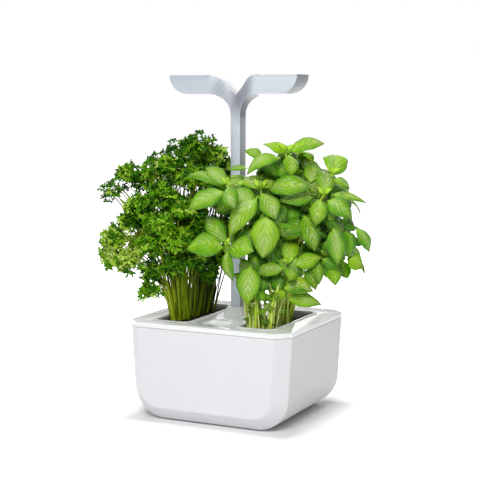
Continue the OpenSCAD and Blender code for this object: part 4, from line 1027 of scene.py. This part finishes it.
# %% [markdown]
# ## Satin metal of mast and lamp, with painted shade
# Mast and lamp are finely brushed, which a fine stretched grain stands for. Their shine could
# be left to the lights alone, but here the direction that a face looks in, and its place,
# darken or pale the colour, as painted shade and painted highlight.

# %% Brushed finishes with painted shade
# Painted shade darkens the hollow round this point, where the two arms part
FORK_X, FORK_Z = 5.5 / 1.4, DECK + 248    # where the two arms part, in mm


def brushed(name, dark, light, stretch, side):
    """Painted shade and light: faces turned to the left or right are painted darker towards side,
    and so is the hollow where the two arms part. Level tops are painted paler, and the left head
    is painted a little darker."""
    finish = moulded(name, dark, light, 0.4, 0.16, 1600, 0.15, stretch)
    x, _, z = finish.split(finish.normal)
    # painted shade on faces turned to the left or right, less where they tilt up
    level = finish.minus(1.0, finish.times(z, 0.6), clamp=True)
    painted_side_shade = finish.times(finish.math("ABSOLUTE", x), level)
    colour = finish.mix(painted_side_shade, finish.colour(), (side, side * 0.98, side), "MULTIPLY")
    line = finish.span(finish.noise(finish.stretched(stretch), 420, 2), 0.0, 0.5)
    colour = finish.mix(line, colour, (0.84, 0.84, 0.85), "MULTIPLY")
    # painted highlight: level tops are paler
    top = finish.times(finish.math("MAXIMUM", z, 0.0), 0.8)
    colour = finish.mix(top, colour, (0.88, 0.89, 0.91))
    # painted shade: the left head is a little darker
    left = finish.span(finish.split(finish.place)[0], 1.0, 0.0, -30 * MM, -6 * MM)
    colour = finish.mix(left, colour, (0.885, 0.895, 0.92), "MULTIPLY")
    # painted shade in the hollow where the two arms part
    fork = finish.add("Mapping", {"Vector": finish.place, "Scale": (1.4, 0, 0.8),
                                  "Location": (-1.4 * FORK_X * MM, 0, -0.8 * FORK_Z * MM)})
    far = finish.vector("LENGTH", fork.outputs["Vector"])["Value"]
    near = finish.span(far, 0.95, 0.0, 3 * MM, 25 * MM)
    finish.fill({"Base Color": finish.mix(near, colour, (0.36, 0.34, 0.38), "MULTIPLY"),
                 "Specular IOR Level": 0.35})


brushed("mast_metal", (0.61, 0.67, 0.74), (0.65, 0.71, 0.78), (1, 1, 0.02), 0.62)
brushed("lamp_metal", (0.63, 0.68, 0.74), (0.67, 0.72, 0.78), (0.03, 1, 1), 0.42)
print("finishes:", len(FINISH))

# %% [markdown]
# ## Basil leaf: the pattern of its veins
# A basil leaf has a pale midrib and side veins that arch to the rim. They could be painted
# on one leaf, but every leaf here is another size. Each has its own two parameters, kept
# as a UV map, and the veins follow those: how near the across value is to the midrib, and
# how near s minus an arch of the across value is to one of the side veins.

# %% Basil leaf: veins
VEIN_PAIRS = 4.6    # side veins on each half of a leaf
leaf = Finish("basil_leaf")
s, across, _ = leaf.split(leaf.add("UVMap", uv_map="surface").outputs["UV"])
off = leaf.times(leaf.math("ABSOLUTE", leaf.minus(across, 0.5)), 2.0)
arch = leaf.times(leaf.math("POWER", off, VEIN_POWER), VEIN_SWEEP)
waver = leaf.times(leaf.minus(leaf.noise(leaf.place, 55, 3), 0.5), 0.34)
wave = leaf.math("PINGPONG", leaf.times(leaf.plus(leaf.minus(s, arch), waver), VEIN_PAIRS), 0.5)
fade = leaf.minus(1.0, leaf.math("POWER", off, 4.0), clamp=True)
vein = leaf.times(leaf.minus(1.0, leaf.times(wave, 11.0), clamp=True), fade)
rib = leaf.minus(1.0, leaf.times(off, 14.0), clamp=True)
leaf_tone = leaf.tone()
own = leaf.math("FRACT", leaf.times(leaf_tone, 37.0))
print("nodes of the vein pattern:", len(leaf.nodes))

# %% [markdown]
# ## Basil leaf: green, painted sheen and gleams
# Old leaves are dark, and young ones pale and yellow. Over the green lies a painted whitish
# sheen, and the puffed parts between the veins gleam in short painted streaks. Real gloss would
# need far more light sources, so sheen and gleams are colours that are blended in one by one.

# %% Basil leaf: colour
patch = leaf.times(leaf.minus(leaf.noise(leaf.place, 70, 5), 0.5), 0.55)
inner = leaf.times(leaf.minus(0.45, off), 0.30)
green = leaf.ramp(leaf.plus(leaf.plus(leaf_tone, patch), inner, clamp=True), [
    (0.0, (0.012, 0.115, 0.001)), (0.35, (0.125, 0.410, 0.003)),
    (0.62, (0.350, 0.675, 0.012)), (1.0, (0.62, 0.91, 0.02))])
# painted highlights: short gleaming streaks on the puffed parts between the veins
crest = leaf.math("POWER", leaf.times(wave, 2.0), 5.0)
crest = leaf.times(crest, leaf.times(leaf.math("MINIMUM", off, 0.2), 5.0))
crest = leaf.times(crest, leaf.minus(1.0, leaf.times(off, 1.5), clamp=True))
streaks = leaf.add("CombineXYZ", {
    0: leaf.times(s, 5.0), 1: leaf.times(across, 7.0), 2: leaf.times(leaf_tone, 43.0)})
gleam = leaf.noise(streaks.outputs[0], 1.0, 3)
gleam = leaf.times(leaf.minus(gleam, 0.44, clamp=True), 9.0, clamp=True)
gleam = leaf.times(gleam, leaf.span(leaf.noise(leaf.place, 400, 2), 0.5, 1.3, 0.35, 0.65))
some = leaf.plus(leaf.times(own, 1.3), 0.15, clamp=True)
lit = leaf.times(leaf.times(crest, gleam), some, clamp=True)
# painted sheen: a whitish gloss, stronger near the midrib and on paler leaves
painted_sheen = leaf.span(leaf.noise(leaf.place, 26, 2), 0.0, 0.70, 0.40, 0.62)
painted_sheen = leaf.times(painted_sheen, leaf.minus(1.0, leaf.times(off, 1.2), clamp=True))
painted_sheen = leaf.times(painted_sheen, leaf.plus(0.2, leaf.times(leaf_tone, 1.2)), clamp=True)
fresh = leaf.times(leaf.minus(leaf_tone, 0.91), 16.0, clamp=True)
foot = leaf.minus(1.0, leaf.times(s, 5.5), clamp=True)
colour = leaf.mix(painted_sheen, green, (0.60, 0.77, 0.34))
colour = leaf.mix(leaf.times(lit, 2.0, clamp=True), colour, (0.86, 0.95, 0.68))
# painted shade in the sunken side veins
colour = leaf.mix(leaf.times(vein, 0.36), colour, (0.03, 0.15, 0.004))
colour = leaf.mix(leaf.times(rib, 0.5), colour, (0.50, 0.78, 0.12))
colour = leaf.mix(leaf.times(leaf.math("POWER", off, 14.0), 0.45), colour, (0.42, 0.62, 0.20))
colour = leaf.mix(leaf.times(fresh, 0.75), colour, (0.58, 0.88, 0.06))
colour = leaf.mix(leaf.times(foot, 0.8), colour, (0.50, 0.86, 0.05))
print("nodes of the leaf so far:", len(leaf.nodes))

# %% [markdown]
# ## Basil leaf: relief and light that shines through
# The blade puffs up between its veins, and light shines through it. Modelling each puff
# would take many more points, so the small ones are bump. The bump fades on young leaves
# and at each leaf's foot, where it would be too steep for their size.

# %% Basil leaf: relief
THROUGH = 0.22    # share of the light that shines through
fleshy = leaf.times(leaf.minus(s, 0.12), 5.0, clamp=True)
fine = leaf.noise(leaf.place, 900, 3)
swell = leaf.times(fade, leaf.plus(0.5, leaf.times(own, 0.5)))
swell = leaf.times(leaf.math("POWER", leaf.times(wave, 2.0), 0.7), swell)
height = leaf.minus(leaf.plus(swell, leaf.times(fine, 0.08)), leaf.times(rib, 0.2))
height = leaf.times(height, leaf.times(fleshy, leaf.minus(1.0, leaf.times(fresh, 0.85))))
leaf.bump(height, 1.0, 1.5)
leaf.fill({"Base Color": colour, "Roughness": leaf.span(fine, 0.25, 0.36), "Specular IOR Level": 0.18,
           "Subsurface Weight": leaf.times(leaf.times(fleshy, leaf.minus(1.0, fresh)), 0.35),
           "Subsurface Radius": (0.6, 1.0, 0.15), "Subsurface Scale": 2 * MM})
through = leaf.add("BsdfTranslucent", {"Color": leaf.mix(1.0, green, (0.8, 1.0, 0.4), "MULTIPLY")})
both = leaf.add("MixShader", {0: THROUGH, 1: leaf.shader.outputs[0], 2: through.outputs[0]})
leaf.surface(both.outputs[0])
print("nodes of the whole leaf:", len(leaf.nodes))

# %% [markdown]
# ## Parsley leaflets and stalks
# These are small or thin, so a mottle round each piece's tone, which holds painted shade
# too, is enough. A finish for each tone would need many materials, while a tone stored on
# the points needs one.

# %% Plant skins
def toned(name, stops, rough, fleck_scale, grain, grain_scale, spread, gloss):
    """Plant skin: the tone stored on the points, which holds painted shade too, shifted by a
    fine mottle, picks the colour.
    """
    finish = Finish(name)
    place = finish.place
    shift = finish.times(finish.minus(finish.noise(place, fleck_scale, 5), 0.5), spread)
    finish.fill({"Base Color": finish.ramp(finish.plus(finish.tone(), shift, clamp=True), stops),
                 "Roughness": finish.span(finish.noise(place, 700), rough * 0.85, rough * 1.15),
                 "Specular IOR Level": gloss})
    finish.bump(finish.noise(place, grain_scale), grain, 0.3)


toned("parsley_leaf", [
    (0.0, (0.008, 0.055, 0.001)), (0.35, (0.052, 0.215, 0.003)), (0.6, (0.155, 0.400, 0.006)),
    (0.85, (0.36, 0.60, 0.03)), (1.0, (0.58, 0.75, 0.15))], 0.42, 160, 0.35, 1300, 0.3, 0.14)
toned("parsley_stem", [
    (0.0, (0.035, 0.062, 0.001)), (0.5, (0.19, 0.28, 0.005)), (1.0, (0.46, 0.56, 0.030))],
    0.4, 60, 0.3, 700, 0.4, 0.1)
toned("basil_stem", [
    (0.0, (0.20, 0.37, 0.010)), (0.5, (0.55, 0.74, 0.05)), (1.0, (0.84, 0.94, 0.32))],
    0.38, 80, 0.3, 600, 0.5, 0.14)
print("plant skins:", [name for name in FINISH if name.endswith(("leaf", "stem"))])

# %% [markdown]
# ## Damp fibre
# The growing medium is nearly black, with a few paler fibres and deep crumbs. Fibres could
# be modelled one by one, but one fine noise gives both its colour and its relief.

# %% Medium finish
medium = Finish("growing_medium")
crumb = medium.noise(medium.place, 420, 8, 0.7)
fibres = medium.ramp(crumb, [(0.35, (0.004, 0.003, 0.001)), (0.52, (0.016, 0.010, 0.004)),
                             (0.66, (0.050, 0.032, 0.014)), (0.80, (0.15, 0.11, 0.05))])
medium.fill({"Base Color": fibres, "Roughness": medium.span(crumb, 0.8, 1.0),
             "Specular IOR Level": 0.1})
medium.bump(crumb, 1.0, 1.6)
print("finishes in all:", len(FINISH))

# %% [markdown]
# ## Giving every piece its finish
# The record names a material slot for each node. Pieces made here carry the same names,
# so one loop can dress both.

# %% Assign finishes
slot_of = {part["node"]: part["material_slot"] for part in frame["record"]["subparts"]}
for node, solid in NODES.items():
    solid.data.materials.clear()
    solid.data.materials.append(FINISH[slot_of[node]])
made = [o for o in bpy.data.objects if o.type == "MESH" and "made_slot" in o]
for piece in made:
    piece.data.materials.clear()
    piece.data.materials.append(FINISH[piece["made_slot"]])
print("dressed:", len(NODES), "nodes and", len(made), "new pieces")

# %% [markdown]
# ## Floor and sky
# A plain white floor and sky keep the eye on the object. Both look white to the camera
# and in reflections, but light the object gently, so that pale plastic isn't burnt out.
# A backdrop could be modelled, but a glow that only those rays see needs no tuning.

# %% Stage
FLOOR = 6.0    # half the floor's width, in m
# In mm: half of the floor that never glows, a little less than the tank, and how far
# outside it the glow starts and is complete
SHADE_X, SHADE_Y, SHADE_FROM, SHADE_TO = 92, 80, 4, 70

floor_mesh = bpy.data.meshes.new("floor")
corners = [(-FLOOR, -FLOOR, 0), (FLOOR, -FLOOR, 0), (FLOOR, FLOOR, 0), (-FLOOR, FLOOR, 0)]
floor_mesh.from_pydata(corners, [], [(0, 1, 2, 3)])
floor = bpy.data.objects.new("floor", floor_mesh)
bpy.context.scene.collection.objects.link(floor)


def seen_directly(tree):
    """1 for camera, glossy and transmission rays, 0 for the rays that carry soft light."""
    rays = tree.add("LightPath").outputs
    direct = tree.math("MAXIMUM", rays["Is Camera Ray"], rays["Is Glossy Ray"])
    return tree.math("MAXIMUM", direct, rays["Is Transmission Ray"])


ground = Finish("floor")
pale = [(0.3, (0.91, 0.91, 0.91)), (0.7, (0.92, 0.92, 0.92))]
ground.fill({"Base Color": ground.ramp(ground.noise(ground.place, 3), pale), "Roughness": 0.9,
             "Specular IOR Level": 0.0})
# How far a point lies outside the part that never glows
away = ground.vector("ABSOLUTE", ground.place)[0]
away = ground.vector("SUBTRACT", away, (SHADE_X * MM, SHADE_Y * MM, 1))[0]
away = ground.vector("LENGTH", ground.vector("MAXIMUM", away)[0])["Value"]
white = ground.span(away, 0.0, 1.1, SHADE_FROM * MM, SHADE_TO * MM)
white = ground.times(seen_directly(ground), white)
glow = ground.add("Emission", {"Color": (1, 1, 1), "Strength": white})
both = ground.add("AddShader", {0: ground.shader.outputs[0], 1: glow.outputs[0]})
ground.surface(both.outputs[0])
floor_mesh.materials.append(ground.material)

world = bpy.data.worlds.new("studio")
bpy.context.scene.world = world
world.use_nodes = True
sky = Nodes(world.node_tree)
background = sky.nodes["Background"]
sky.put(background.inputs["Color"], (1, 1, 1))
sky.put(background.inputs["Strength"], sky.span(seen_directly(sky), 0.22, 1.0, 0, 1))
print("floor:", 2 * FLOOR, "m wide")

# %% [markdown]
# ## Lights
# Product pictures are lit by large soft boxes. Lamps could be placed by hand, but a box
# given by direction, height and distance always faces the object's middle.

# %% Lights
LIT_HEIGHT = 0.2    # height of the object's middle, in m


def softbox(name, azimuth, elevation, distance, size, power):
    """Square area light that faces the middle of the object. Angles are in degrees,
    lengths in m and the power in W."""
    data = bpy.data.lights.new(name, "AREA")
    data.shape, data.size, data.energy = "SQUARE", size, power
    light = bpy.data.objects.new(name, data)
    azimuth, elevation = math.radians(azimuth), math.radians(elevation)
    light.location = direction(azimuth, elevation) * distance + [0, 0, LIT_HEIGHT]
    light.rotation_euler = (math.pi / 2 - elevation, 0, azimuth)
    bpy.context.scene.collection.objects.link(light)


softbox("key", 18, 36, 1.7, 0.6, 18.2)
softbox("top", -80, 80, 1.6, 0.7, 9)
softbox("back", 190, 28, 1.8, 1.2, 7)

# %% [markdown]
# ## Measure and finish
# The box of each piece made here is printed.

# %% Finish
bpy.context.scene.view_settings.view_transform = "Standard"
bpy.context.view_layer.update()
for piece in made:
    reach = np.array([list(corner) for corner in piece.bound_box])
    print(piece.name, "from", reach.min(0).round(3).tolist(), "to", reach.max(0).round(3).tolist())
